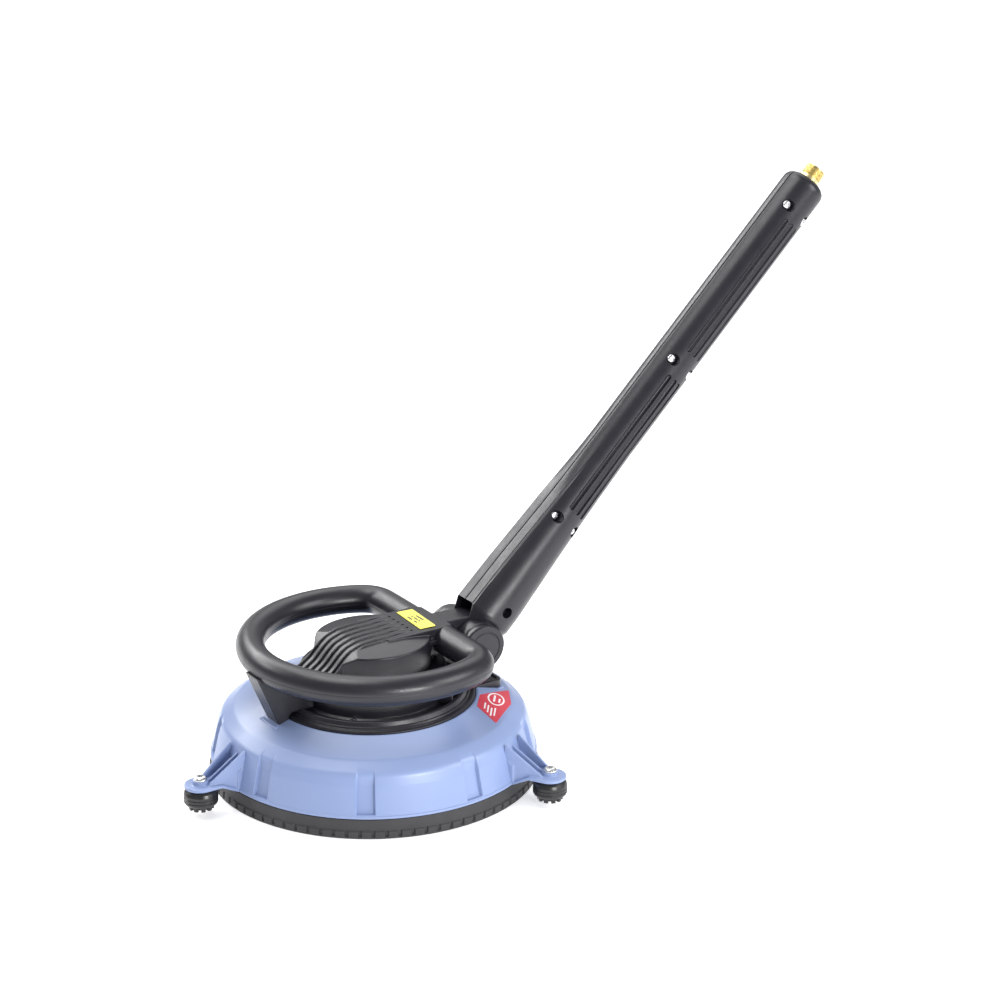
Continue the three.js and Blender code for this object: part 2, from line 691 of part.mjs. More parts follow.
function wandBody() {
  const mouth = box(-40, MOUTH, -TONGUE_HALF - 0.6, TONGUE_HALF + 0.6, -40, 40);
  const barrel = crossDisc(BARREL_R + 0.7, -TONGUE_HALF - 0.6, TONGUE_HALF + 0.6, 0, 0, 28);
  const supports = SCREW_STATIONS.map((s) => alongWand(disc(supportR(s), s - 3, s + 3, 12)));
  const bosses = SCREW_STATIONS.flatMap((s) => [-1, 1].map((side) => {
    const post = crossDisc(5.6, -22, 22, s, side * SCREW_OFFSET, 8);
    return post.intersect(alongWand(disc(supportR(s), s - 8, s + 8, 12)));
  }));
  const pipeBore = alongWand(disc(PIPE_R + GAP, 60, 600, 12));
  const inletBore = alongWand(disc(9.3, 559, 600, 16));
  const screwHoles = SCREW_STATIONS.flatMap((s) => [-1, 1].flatMap((side) => [
    crossDisc(2, -20, 13, s, side * SCREW_OFFSET, 6),
    crossDisc(5, -40, -14.3, s, side * SCREW_OFFSET, 8),
  ]));
  const pivotBore = crossDisc(9.5, -25.4, 27, 0, 0, 18);
  const eyePocket = join(crossDisc(15.8, 13.9, 26.1, 0, 0, 18), box(0, 52, 13.9, 26.1, -6.6, 6.6));
  const capHole = crossDisc(5.3, -40, 40, 0, 0, 16);
  const peepHole = crossDisc(5.6, -40, -24, 42, 0, 16);
  const hollow = cut(wandHull(), wandCavity());
  return cut(join(hollow, ...supports, ...bosses), mouth, barrel, pipeBore, inletBore, ...screwHoles,
    pivotBore, eyePocket, capHole, peepHole);
}

function swivelEye() {
  const ring = crossDisc(15, 14.2, 25.8, 0, 0, 18);
  const stem = box(8, 60, 14.2, 23.5, -5.8, 5.8);
  const bridge = box(50, 60, -5.8, 20, -5.8, 5.8);
  const socket = alongWand(disc(9.5, 50, 80, 12));
  const bore = crossDisc(9.5, 10, 30, 0, 0, 18);
  const channel = box(0, 57, 17, 21, -2, 2);
  const crossChannel = box(53, 57, 0, 21, -2, 2);
  const outlet = alongWand(disc(4, 54, 90, 12));
  const joint = cut(join(ring, stem, bridge, socket), bore, channel, crossChannel, outlet);
  return cut(joint, alongWand(disc(PIPE_R + GAP, 70, 90, 12)));
}

function wandPipe() {
  return alongWand(disc(PIPE_R, 70.3, 574, 12, PIPE_BORE_R));
}

// The hose inlet, with its thread as plain rings
function hoseInlet() {
  const rings = Array.from({ length: 3 }, (_, i) => {
    const s = 592.5 + i * 4;
    return [[11.4, s], [11.4, s + 2], [10.6, s + 2.8], [10.6, s + 3.9]];
  }).flat();
  return alongWand(turned([
    [PIPE_R + GAP, 560],
    [9, 560],
    [9, WAND_LENGTH + GAP],
    [10.6, WAND_LENGTH + GAP],
    [10.6, 591.5],
    ...rings,
    [10.6, 604.6],
    [6.5, 604.6],
    [6.5, 597],
    [4, 597],
    [4, 574.4],
    [PIPE_R + GAP, 574.4],
    [PIPE_R + GAP, 560],
  ], 12));
}

function knuckleCap(side) {
  const cap = turned([
    [0, 27.6],
    [5, 27.6],
    [5, FORK_R + GAP],
    [24, FORK_R + GAP],
    [24, 34.8],
    [22.6, 36],
    [0, 36],
  ], 20);
  return cap.rotate([-90 * side, 0, 0]);
}

const wandSides = wandBody();
node('wand_shell_near', BLACK, wandSides.intersect(box(-60, 640, -60, -GAP / 2, -60, 60)), wand);
node('wand_shell_far', BLACK, wandSides.intersect(box(-60, 640, GAP / 2, 60, -60, 60)), wand);
node('wand_pipe', STEEL, wandPipe(), wand);
node('swivel_eye', BRASS, swivelEye(), wand);
node('hose_inlet', BRASS, hoseInlet(), wand);
node('knuckle_cap_near', BLACK, knuckleCap(-1), wand);
node('knuckle_cap_far', BLACK, knuckleCap(1), wand);

SCREW_STATIONS.flatMap((s) => [[s, SCREW_OFFSET], [s, -SCREW_OFFSET]]).forEach(([s, n], i) => {
  const screw = panScrew(4.5, 2.6, 1.7, 26).rotate([90, 0, 0]).translate([s, -14.6, n]);
  node(`shell_screw_${i + 1}`, STEEL, screw, wand);
});

export default cleaner;
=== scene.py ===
# Surface cleaner: the visible pieces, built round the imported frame.
# Lengths are millimetres in the part's frame; raw_object() and move's matrices turn them into metres.
# Lights, the camera and the floor's paint are in metres.

import json
import math

import bmesh
import bpy
import numpy as np
from mathutils import Matrix, Vector


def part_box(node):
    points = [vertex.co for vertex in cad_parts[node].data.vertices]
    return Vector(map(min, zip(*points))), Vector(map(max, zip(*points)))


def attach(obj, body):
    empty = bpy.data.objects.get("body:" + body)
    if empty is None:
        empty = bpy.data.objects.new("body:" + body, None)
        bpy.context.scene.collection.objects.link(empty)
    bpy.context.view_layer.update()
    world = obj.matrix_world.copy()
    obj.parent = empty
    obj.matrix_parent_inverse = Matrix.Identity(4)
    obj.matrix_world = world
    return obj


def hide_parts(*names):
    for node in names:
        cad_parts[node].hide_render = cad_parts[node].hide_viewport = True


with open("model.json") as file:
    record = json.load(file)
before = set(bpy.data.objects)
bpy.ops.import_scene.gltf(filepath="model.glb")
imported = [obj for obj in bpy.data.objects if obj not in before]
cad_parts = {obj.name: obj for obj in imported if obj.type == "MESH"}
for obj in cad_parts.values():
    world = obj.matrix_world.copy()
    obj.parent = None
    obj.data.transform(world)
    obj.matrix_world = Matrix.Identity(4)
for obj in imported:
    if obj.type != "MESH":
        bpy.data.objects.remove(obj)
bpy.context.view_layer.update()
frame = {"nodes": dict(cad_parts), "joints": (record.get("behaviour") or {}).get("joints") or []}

MM = 0.001


def node_box(node):
    low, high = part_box(node)
    return np.array(low) / MM, np.array(high) / MM


JOINTS = {joint["name"]: joint for joint in frame["joints"]}
PIVOT = np.array(JOINTS["wand_tilt"]["pos_m"]) / MM
ROLLERS = [np.array(JOINTS[f"roller_{i}_spin"]["pos_m"])[:2] / MM for i in (1, 2, 3)]
WAND_RISE = 44.35
SKIRT_R = node_box("skirt_ring")[1][1]
TUBE_R = 14.6
RING_R = node_box("handle_ring")[1][1] - TUBE_R
RING_Z = 132.6
RING_SLOPE = 0.02
BAR_X = 66
BEND_R = 25
NECK_HALF = 31
NECK_END = 74
DOME_TOP = 146.4


# ---------------------------------------------------------------- materials
def material(name, colour, roughness, metallic=0.0, tint=0.06, grain=900.0, bump=0.04, rough_spread=0.08):
    """A shader with a mottled colour, an uneven gloss and a fine grain."""
    made = bpy.data.materials.new(name)
    made.use_nodes = True
    tree = made.node_tree
    shader = tree.nodes["Principled BSDF"]
    shader.inputs["Metallic"].default_value = metallic
    place = tree.nodes.new("ShaderNodeTexCoord")

    def noise(scale, detail):
        texture = tree.nodes.new("ShaderNodeTexNoise")
        texture.inputs["Scale"].default_value = scale
        texture.inputs["Detail"].default_value = detail
        tree.links.new(place.outputs["Object"], texture.inputs["Vector"])
        return texture.outputs["Fac"]

    def spread(value, low, high):
        turn = tree.nodes.new("ShaderNodeMapRange")
        turn.inputs["From Min"].default_value = 0.3
        turn.inputs["From Max"].default_value = 0.7
        turn.inputs["To Min"].default_value = low
        turn.inputs["To Max"].default_value = high
        tree.links.new(value, turn.inputs["Value"])
        return turn.outputs["Result"]

    mix = tree.nodes.new("ShaderNodeMix")
    mix.data_type = "RGBA"
    mix.inputs["A"].default_value = (*[c * (1 - tint) for c in colour], 1)
    mix.inputs["B"].default_value = (*[min(1, c * (1 + tint)) for c in colour], 1)
    tree.links.new(noise(28, 4), mix.inputs["Factor"])
    tree.links.new(mix.outputs["Result"], shader.inputs["Base Color"])
    rough = spread(noise(60, 5), roughness - rough_spread, roughness + rough_spread)
    tree.links.new(rough, shader.inputs["Roughness"])
    bumps = tree.nodes.new("ShaderNodeBump")
    bumps.inputs["Strength"].default_value = bump
    bumps.inputs["Distance"].default_value = 0.0006
    tree.links.new(noise(grain, 3), bumps.inputs["Height"])
    tree.links.new(bumps.outputs["Normal"], shader.inputs["Normal"])
    return made


BLUE = material("blue_plastic", (0.232, 0.302, 0.515), 0.34, tint=0.02, grain=1500, bump=0.03,
                rough_spread=0.03)
BLACK = material("black_plastic", (0.011, 0.011, 0.016), 0.34, tint=0.2, grain=1800, bump=0.10,
                 rough_spread=0.04)
ROLLER = material("roller_plastic", (0.012, 0.012, 0.013), 0.32, tint=0.2, grain=1200, bump=0.08)
RUBBER = material("skirt_rubber", (0.030, 0.029, 0.032), 0.58, tint=0.25, grain=1400, bump=0.25)
YELLOW = material("yellow_film", (0.93, 0.85, 0.12), 0.38, tint=0.03, grain=700, bump=0.03)
RED = material("red_film", (0.60, 0.045, 0.075), 0.34, tint=0.05, grain=700, bump=0.03)
WHITE = material("white_print", (0.85, 0.83, 0.84), 0.4, tint=0.03, grain=700, bump=0.02)
INK = material("dark_print", (0.05, 0.04, 0.03), 0.4, tint=0.1, grain=700, bump=0.02)
BRASS = material("brass", (0.74, 0.63, 0.34), 0.30, metallic=1, tint=0.08, grain=900, bump=0.06)
STEEL = material("zinc_steel", (0.72, 0.73, 0.75), 0.26, metallic=1, tint=0.07, grain=1100, bump=0.06)
ALLOY = material("cast_alloy", (0.55, 0.56, 0.58), 0.42, metallic=1, tint=0.08, grain=1300, bump=0.2)


# ---------------------------------------------------------------- mesh helpers
def raw_object(name, vertices, faces):
    mesh = bpy.data.meshes.new(name)
    mesh.from_pydata((np.asarray(vertices, float) * MM).tolist(), [], [tuple(f) for f in faces])
    mesh.update()
    made = bpy.data.objects.new(name, mesh)
    bpy.context.scene.collection.objects.link(made)
    return made


def clean(made):
    bm = bmesh.new()
    bm.from_mesh(made.data)
    bmesh.ops.remove_doubles(bm, verts=bm.verts, dist=1e-7)
    bmesh.ops.dissolve_degenerate(bm, edges=bm.edges, dist=1e-8)
    bmesh.ops.recalc_face_normals(bm, faces=bm.faces)
    bm.to_mesh(made.data)
    bm.free()
    return made


def grid_faces(rows, columns, wrap_rows, wrap_columns):
    r = np.arange(rows if wrap_rows else rows - 1)
    c = np.arange(columns if wrap_columns else columns - 1)
    r0, c0 = np.meshgrid(r, c, indexing="ij")
    r1, c1 = (r0 + 1) % rows, (c0 + 1) % columns
    faces = np.stack([r0 * columns + c0, r0 * columns + c1, r1 * columns + c1, r1 * columns + c0], -1)
    return faces.reshape(-1, 4).tolist()


def fillet(points, radius, steps=4, closed=True):
    """The polygon with each corner rounded. radius is one number, or one for each point."""
    points = [np.array(p, float) for p in points]
    radii = [radius] * len(points) if np.isscalar(radius) else list(radius)
    out = []
    for i, p in enumerate(points):
        if not closed and i in (0, len(points) - 1):
            out.append(p)
            continue
        a, b = points[i - 1] - p, points[(i + 1) % len(points)] - p
        la, lb = np.linalg.norm(a), np.linalg.norm(b)
        ua, ub = a / la, b / lb
        half = math.acos(max(-1, min(1, float(ua @ ub)))) / 2
        reach = min(radii[i] / max(math.tan(half), 1e-6), 0.45 * la, 0.45 * lb)
        if radii[i] <= 0 or reach < 1e-4 or half > math.pi / 2 - 0.02:
            out.append(p)
            continue
        start, end = p + ua * reach, p + ub * reach
        for k in range(steps + 1):
            t = k / steps
            out.append((1 - t) ** 2 * start + 2 * t * (1 - t) * p + t ** 2 * end)
    return np.array(out)


def lathe(name, profile, segments=96, closed=True):
    """Turns (r, z) points about Z. A profile that isn't closed starts and ends on the axis."""
    profile = np.asarray(profile, float)
    angle = np.linspace(0, 2 * math.pi, segments, endpoint=False)
    r, z = profile[:, 0][:, None], profile[:, 1][:, None]
    points = np.stack([r * np.cos(angle), r * np.sin(angle), z + 0 * angle], -1)
    made = raw_object(name, points.reshape(-1, 3), grid_faces(len(profile), segments, closed, True))
    return clean(made)


def prism(name, outline, low, high, plane="xy"):
    """An outline raised from low to high: plane xy along Z, or xz along Y."""
    outline = np.asarray(outline, float)
    n = len(outline)
    points = np.zeros((2 * n, 3))
    across = (0, 1, 2) if plane == "xy" else (0, 2, 1)
    for k, level in enumerate((low, high)):
        points[k * n:(k + 1) * n, across[0]] = outline[:, 0]
        points[k * n:(k + 1) * n, across[1]] = outline[:, 1]
        points[k * n:(k + 1) * n, across[2]] = level
    faces = [list(range(n)), list(range(2 * n - 1, n - 1, -1))]
    faces += [[i, (i + 1) % n, n + (i + 1) % n, n + i] for i in range(n)]
    return clean(raw_object(name, points, faces))


def block(name, x, y, z):
    return prism(name, [(x[0], y[0]), (x[1], y[0]), (x[1], y[1]), (x[0], y[1])], z[0], z[1])


def move(made, matrix):
    made.data.transform(matrix)
    if matrix.determinant() < 0:
        made.data.flip_normals()
    made.data.update()
    return made


def shifted(x=0, y=0, z=0):
    return Matrix.Translation(Vector((x, y, z)) * MM)


def turn(degrees, axis="Z"):
    return Matrix.Rotation(math.radians(degrees), 4, axis)


ALONG_WAND = turn(90, "Y")  # a lathe's Z becomes +X
ACROSS = turn(90, "X")  # a lathe's Z becomes -Y
WAND_PLACE = Matrix.Translation(Vector(PIVOT) * MM) @ turn(-WAND_RISE, "Y")


def bake(made):
    """Applies the modifiers."""
    graph = bpy.context.evaluated_depsgraph_get()
    graph.update()
    mesh = bpy.data.meshes.new_from_object(made.evaluated_get(graph))
    made.modifiers.clear()
    old = made.data
    made.data = mesh
    bpy.data.meshes.remove(old)
    return made


def drop(made):
    mesh = made.data
    bpy.data.objects.remove(made)
    bpy.data.meshes.remove(mesh)


def joined(name, parts):
    bm = bmesh.new()
    for part in parts:
        bm.from_mesh(part.data)
    mesh = bpy.data.meshes.new(name)
    bm.to_mesh(mesh)
    bm.free()
    for part in parts:
        drop(part)
    made = bpy.data.objects.new(name, mesh)
    bpy.context.scene.collection.objects.link(made)
    return made


def boolean(made, tool, operation="DIFFERENCE"):
    step = made.modifiers.new("boolean", "BOOLEAN")
    step.operation = operation
    step.solver = "MANIFOLD"
    step.object = tool
    bake(made)
    drop(tool)
    return made


def remeshed(made, voxel):
    step = made.modifiers.new("remesh", "REMESH")
    step.mode = "VOXEL"
    step.voxel_size = voxel * MM
    return bake(made)


def relaxed(made, times, factor=0.5):
    step = made.modifiers.new("smooth", "SMOOTH")
    step.factor = factor
    step.iterations = times
    return bake(made)


def fused(name, parts, cutters=(), voxel=0.62, relax=3):
    """The parts, which overlap, as one skin with soft edges. The cutters are taken out of it."""
    made = remeshed(joined(name, parts), voxel)
    if cutters:
        for cutter in cutters:
            boolean(made, cutter)
        remeshed(made, voxel)
    return relaxed(made, relax)


def smooth(made, angle=None):
    made.data.polygons.foreach_set("use_smooth", [True] * len(made.data.polygons))
    if angle is not None:
        made.data.set_sharp_from_angle(angle=math.radians(angle))
    made.data.update()
    return made


def edged(made, width, segments=3):
    """Bevels the sharp edges."""
    step = made.modifiers.new("bevel", "BEVEL")
    step.width = width * MM
    step.segments = segments
    step.limit_method = "ANGLE"
    return bake(made)


def piece(made, body, slot, paint, *nodes):
    """Paints a finished mesh, puts it on its body and takes the CAD nodes' place."""
    made.data.materials.clear()
    for each in paint if isinstance(paint, (list, tuple)) else [paint]:
        made.data.materials.append(each)
    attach(made, body)
    if nodes:
        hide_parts(*nodes)
    return made


def cylinder(name, radius, low, high, segments=48, rim=0.0):
    """A disc about Z. rim rounds its edges."""
    profile = [(0, low), (radius, low), (radius, high), (0, high)]
    return lathe(name, fillet(profile, [0, rim, rim, 0], 4, closed=False), segments, closed=False)


def rounded_rectangle(x0, x1, y0, y1, radius):
    return fillet([(x0, y0), (x1, y0), (x1, y1), (x0, y1)], radius, 8)


def smoothstep(t):
    t = np.clip(t, 0, 1)
    return t * t * (3 - 2 * t)


# ---------------------------------------------------------------- shroud
CHANNELS = [36 + 40 * k for k in range(9)]
CHANNEL_HALF = 8.5
CHANNEL_R = 157
ARMS = [180, 300, 60]
LUG_R = 15.9
LUG_BOTTOM, LUG_TOP = 28.2, 31.4
ARM_HALF = 15.6
ROLLER_OUT = float(np.hypot(*ROLLERS[0]))
BOTTOM = node_box("shroud")[0][2]
FOOT_R, WALL_R = 161.9, 155.0
OPENING_R, OPENING_Z = 102.0, 80.0
SEAT_Z = 73.7
FINEST_ANGLE = 0.1
CHANNEL_FOOT = 23.6  # where the channels start, above the bottom lip
LIP_ROWS = (23.6, 24.0, 24.4, 24.8, 25.3)


def shroud_angles():
    """Every degree, with more columns at the channels' edges."""
    marks = set(np.arange(0, 360, 1.0).round(3))
    offsets = (-4.4, -3.6, -3.0, -2.4, -1.6, -0.9, -0.5, -0.15, 0.2, 0.55, 0.9, 1.3, 2.0, 3.2)
    for centre in CHANNELS:
        for side in (-1, 1):
            for off in offsets:
                marks.add(round((centre + side * math.degrees((CHANNEL_HALF + off) / CHANNEL_R)) % 360, 3))
    marks = sorted(marks)
    kept = [marks[0]]
    for mark in marks[1:]:
        if mark - kept[-1] > FINEST_ANGLE:
            kept.append(mark)
    return np.radians(kept)


def subdivided(points, spacing):
    """The line with points put in, so that no step is much over the spacing."""
    out = [points[0]]
    for a, b in zip(points[:-1], points[1:]):
        parts = max(1, int(np.linalg.norm(b - a) / spacing))
        out += [a + (b - a) * (k + 1) / parts for k in range(parts)]
    return out


def with_lip_rows(points):
    """The outer wall's line with close rows at the channels' lower ends."""
    rows = []
    for p, q in zip(points[:-1], points[1:]):
        rows.append(p)
        if p[0] > 150 and q[1] > p[1]:
            rows += [p + (q - p) * (z - p[1]) / (q[1] - p[1]) for z in LIP_ROWS if p[1] < z < q[1]]
    return np.array([*rows, points[-1]])


def shroud_shell():
    outer = [(FOOT_R - 2.8, BOTTOM), (FOOT_R + 0.5, BOTTOM), (FOOT_R + 0.5, 22.2), (FOOT_R - 0.65, 23.0),
             (WALL_R, 50), (WALL_R - 3.5, 61), (138, 70.2), (OPENING_R + 2, OPENING_Z + 0.35),
             (OPENING_R, OPENING_Z), (OPENING_R, SEAT_Z), (90, SEAT_Z)]
    outer = fillet(outer, [0, 0.9, 0.8, 0.7, 22, 11, 14, 1.2, 0.6, 0.8, 0], 9, closed=False)
    outer = with_lip_rows(subdivided(outer, 2.2))
    inner = [(90, SEAT_Z - 3), (110, SEAT_Z - 3), (136, 66.8), (148.6, 58.5), (151.8, 49),
             (FOOT_R - 2.8, BOTTOM)]
    inner = fillet(inner, [0, 6, 8, 10, 10, 0], 6, closed=False)[:-1]
    theta = shroud_angles()
    ways = np.diff(outer, axis=0, prepend=outer[:1] * 2 - outer[1:2])
    ways += np.diff(outer, axis=0, append=outer[-1:] * 2 - outer[-2:-1])
    ways /= np.linalg.norm(ways, axis=1)[:, None] + 1e-9
    normal = np.stack([ways[:, 1], -ways[:, 0]], -1)
    offset = np.full(len(theta), 1e3)
    for centre in CHANNELS:
        gap = (np.degrees(theta) - centre + 180) % 360 - 180
        offset = np.minimum(offset, np.abs(np.radians(gap)) * CHANNEL_R)

    def shape(points, normals, half, depth, bottom):
        """Sinks the channels into a line of the wall, from bottom up to where they fade at the shoulder."""
        across = 1 - smoothstep((offset - half + 0.5) / 1.35)
        r, z = points[:, 0], points[:, 1]
        up = smoothstep((z - bottom) / 0.9) * (1 - smoothstep((z - 50) / 17))
        up = np.where(r > 137, up, 0)
        sink = depth * up[:, None] * across[None, :]
        rr = r[:, None] - sink * np.abs(normals[:, 0])[:, None]
        zz = z[:, None] - sink * np.maximum(normals[:, 1], 0)[:, None]
        return rr, zz

    rr, zz = shape(outer, normal, CHANNEL_HALF, 3.9, CHANNEL_FOOT)
    inner_normal = np.tile([1.0, 0.0], (len(inner), 1))
    ri, zi = shape(inner, inner_normal, CHANNEL_HALF + 3, 3.6, 20.5)
    rr, zz = np.vstack([rr, ri]), np.vstack([zz, zi])
    points = np.stack([rr * np.cos(theta), rr * np.sin(theta), zz], -1)
    made = raw_object("shell", points.reshape(-1, 3), grid_faces(len(rr), len(theta), True, True))
    return clean(made)


def roller_arm():
    root, face, tip = 150, FOOT_R + 0.4, ROLLER_OUT
    thick = LUG_TOP - LUG_BOTTOM
    swing = np.linspace(-math.pi / 2, math.pi / 2, 24)
    arc = [(tip + LUG_R * math.cos(a), LUG_R * math.sin(a)) for a in swing]
    foot = [(root, -ARM_HALF), (face, -ARM_HALF), *arc, (face, ARM_HALF), (root, ARM_HALF)]
    lower = [(root, BOTTOM), (face, BOTTOM), (tip - 16, LUG_BOTTOM), (tip + 20, LUG_BOTTOM)]
    floor = prism("floor_side", [*lower, *[(x, z + thick) for x, z in lower[::-1]]], -20, 20, "xz")
    parts = [boolean(floor, prism("foot", foot, 0, 60), "INTERSECT")]
    pad = [(root, BOTTOM + 0.4), (face, BOTTOM + 0.4), (face, 40), (156.5, 44), (root, 44)]
    parts.append(prism("pad", pad, -ARM_HALF, ARM_HALF, "xz"))
    seat = [(face - 2, 22.4), (tip - 16, 29.2), (tip - 7, 29.8)]
    for side in (-1, 1):
        outline = [*seat, (tip - 4, 29.8), (tip - 4, 32.6), (155, 60), (153, 60.5), (153, 30)]
        wall = prism("wall", outline, -20, 20, "xz")
        strip = [(root, ARM_HALF), (tip, 9.8), (tip, 7.4), (root, ARM_HALF - 2.4)]
        strip = [(x, side * y) for x, y in strip]
        parts.append(boolean(wall, prism("strip", strip, 0, 80), "INTERSECT"))
    parts.append(prism("rib", [*seat, (tip - 7, 33), (155, 54), (153, 54), (153, 30)], -0.6, 1.8, "xz"))
    parts.append(move(cylinder("boss", 7.6, LUG_BOTTOM + 1, 35.5, 40), shifted(tip)))
    made = fused("arm", parts)
    return boolean(made, move(cylinder("bolt_hole", 3.3, 0, 60, 24), shifted(tip)))


def foot_plate(grow):
    return rounded_rectangle(64 - grow, 123 + grow, -48 - grow, 48 + grow, 9 + grow)


def build_shroud():
    parts = [shroud_shell()]
    arm = roller_arm()
    for angle in ARMS:
        copy = bpy.data.objects.new("arm_copy", arm.data.copy())
        bpy.context.scene.collection.objects.link(copy)
        parts.append(move(copy, turn(angle)))
    drop(arm)
    seat = prism("rear_seat", foot_plate(3), SEAT_Z - 4, SEAT_Z + 0.25)
    seat = boolean(seat, cylinder("seat_hole", 98, 50, 95, 128))
    parts.append(edged(seat, 1.1))
    lip = [(-120.5, -15.5), (-103, -15.5), (-103, 15.5), (-120.5, 15.5)]
    lip = prism("leg_lip", lip, SEAT_Z - 2.6, SEAT_Z + 3.2)
    lip = boolean(lip, block("leg_pocket", (-115.3, -95), (-12.6, 12.6), (SEAT_Z - 1, 90)))
    parts.append(edged(lip, 0.9))
    made = smooth(joined("shroud_cover", parts), 50)
    return piece(made, "base", "shroud_plastic", BLUE, "shroud")


# ---------------------------------------------------------------- skirt
def build_skirt():
    notches, notch_depth = 80, 1.7
    columns = np.array([-0.95, -0.8, -0.62, -0.5, -0.42, 0, 0.42, 0.5, 0.62, 0.8, 0.95, 2.0])
    theta = np.radians((np.arange(notches)[:, None] * (360 / notches) + columns).ravel())
    across = np.tile([0, 0, 0.2, 0.8, 1, 1, 1, 0.8, 0.2, 0, 0, 0], notches)
    r = SKIRT_R
    outer = fillet([(r - 5.5, 0), (r - 0.2, 0), (r - 0.1, 7.2), (r - 1.5, 8.1), (r - 2.0, 19.4), (149, 19.4)],
                   [0, 0.7, 0.5, 0.5, 0.8, 0], 4, closed=False)
    dense = [outer[0]]
    for a, b in zip(outer[:-1], outer[1:]):
        parts = max(1, int(np.linalg.norm(b - a) / 0.8)) if a[0] > r - 3 else 1
        dense += [a + (b - a) * (k + 1) / parts for k in range(parts)]
    inner = [(149, 28), (146, 28), (146, 16.5), (r - 5.5, 16.5)]
    points = np.array([*dense, *inner])
    z = points[:, 1]
    tread = smoothstep((z - 1.6) / 0.6) * (1 - smoothstep((z - 7.6) / 0.6))
    tread = np.where(points[:, 0] > r - 3, tread, 0)
    wave = 0.12 * np.sin(theta * 3)[None, :] * (points[:, 0] > r - 3)[:, None]
    rr = points[:, 0][:, None] - notch_depth * tread[:, None] * across[None, :] - np.abs(wave)
    zz = z[:, None] + 0 * theta
    grid = np.stack([rr * np.cos(theta), rr * np.sin(theta), zz], -1)
    faces = grid_faces(len(points), len(theta), True, True)
    made = clean(raw_object("skirt_tread", grid.reshape(-1, 3), faces))
    return piece(smooth(made, 40), "base", "skirt_rubber", RUBBER, "skirt_ring")


# ---------------------------------------------------------------- flange
SCREW_ANGLES = (30, 135, 225, 330)
SCREW_R = 79.5


def build_flange():
    rim = 92
    edge = [(66, 74.0), (101.6, 74.0), (101.6, 81.2), (99.6, 82.9), (96.2, 82.9), (95.2, 84.4), (93.6, 84.4)]
    gutter = [(rim, 88.6), (88.2, 88.6), (86.4, 83.2), (76.4, 82.6)]
    drum = [(73.4, 84.4), (73.0, 97.6), (72.4, 98.4), (72.3, 110.2), (70.6, 112.0), (30, 112.0)]
    inside = [(30, 109), (69, 109), (69, 77.5), (66, 77.5)]
    profile = [*edge, *gutter, *drum, *inside]
    radii = [0.5, 0.6, 1, 0.8, 0.5, 0.5, 0.6, 0.9, 0.9, 1.2, 1.5, 1.2, 0.4, 0.4, 1.2, 1.2, 0.5, *[0.3] * 4]
    plate = lathe("flange_plate", fillet(profile, radii, 4), 240)
    foot = prism("rear_foot", foot_plate(0), 74, 82.2)
    foot = boolean(foot, cylinder("foot_hole", 90, 70, 95, 128))
    recess = rounded_rectangle(104, 119.5, -44, 44, 5)
    foot = boolean(foot, prism("foot_recess", recess, 80.9, 90))
    parts = [plate, edged(foot, 0.8)]
    for angle in (300, 318, 60, 42):
        post = block("post", (71.5, 88.6), (-1.3, 1.3), (81, 97))
        parts.append(move(edged(post, 0.5, 2), turn(angle)))
    for angle in SCREW_ANGLES:
        boss = fillet([(2.4, 80), (6.6, 80), (6.6, 82.75), (2.4, 82.75)], 0.4, 3)
        parts.append(move(lathe("screw_boss", boss, 40), turn(angle) @ shifted(SCREW_R)))
    made = smooth(joined("flange_plate", parts), 40)
    return piece(made, "base", "body_plastic", BLACK, "flange")


# ---------------------------------------------------------------- top housing
BAND_HALF = 28
FLUTES = 6
DOTS = 6  # the row of round marks behind the flutes
TONGUE_HALF = 13
BARREL_R = 28
BAND = [(-73, 112.3), (-68.5, 116.7), (-57.4, 123.8), (-47.5, 134.6), (-39.6, 140.6), (-25.5, 145.2),
        (-8.3, DOME_TOP)]


def band_line():
    """The band's profile, smoothed."""
    x = np.array([p[0] for p in BAND], float)
    z = np.array([p[1] for p in BAND], float)
    fine = np.linspace(x[0], x[-1], 60)
    line = np.interp(fine, x, z)
    for _ in range(12):
        line[1:-1] = (line[:-2] + 2 * line[1:-1] + line[2:]) / 4
    return list(zip(fine, line))


def dome_and_band(band):
    """The drum with its low dome, cut to the band's line in front, and the band over it."""
    dome_r, rim_z = 57, 139.8
    crown = [(r, rim_z + (DOME_TOP - rim_z) * (1 - (r / dome_r) ** 2)) for r in np.linspace(56.2, 0, 20)]
    drum = [(0, 108.6), (57.9, 108.6), (57.9, 112.3), (57.1, 138.9), (56.7, 139.6), *crown]
    dome = lathe("dome", drum, 160, closed=False)
    chin = [*band, (-8.3, 170), (-90, 170), (-90, 112.3)]
    boolean(dome, prism("chin", chin, -70, 70, "xz"))
    end = [(NECK_END, DOME_TOP - 0.8), (NECK_END, 138), (20, 130), (-20, 112.3)]
    return [dome, prism("band", [*band, *end], -BAND_HALF, BAND_HALF, "xz")]


def neck_parts():
    """The neck, with a ledge on each side."""
    side = [(0, 131), (0, DOME_TOP), (40, DOME_TOP - 0.3), (NECK_END, DOME_TOP - 0.8), (NECK_END, 131)]
    edge = [(0, -NECK_HALF), (64, -NECK_HALF), (NECK_END, -18)]
    plan = [*edge, *[(x, -y) for x, y in edge[::-1]]]
    neck = prism("neck", side, -NECK_HALF, NECK_HALF, "xz")
    parts = [boolean(neck, prism("plan", plan, 100, 160), "INTERSECT")]
    for y in (-1, 1):
        ledge = [(24, y * 25), (63, y * 25), (63, y * 33), (55, y * 35.5), (24, y * 40)]
        parts.append(prism("ledge", ledge, 131.5, 136))
    return parts


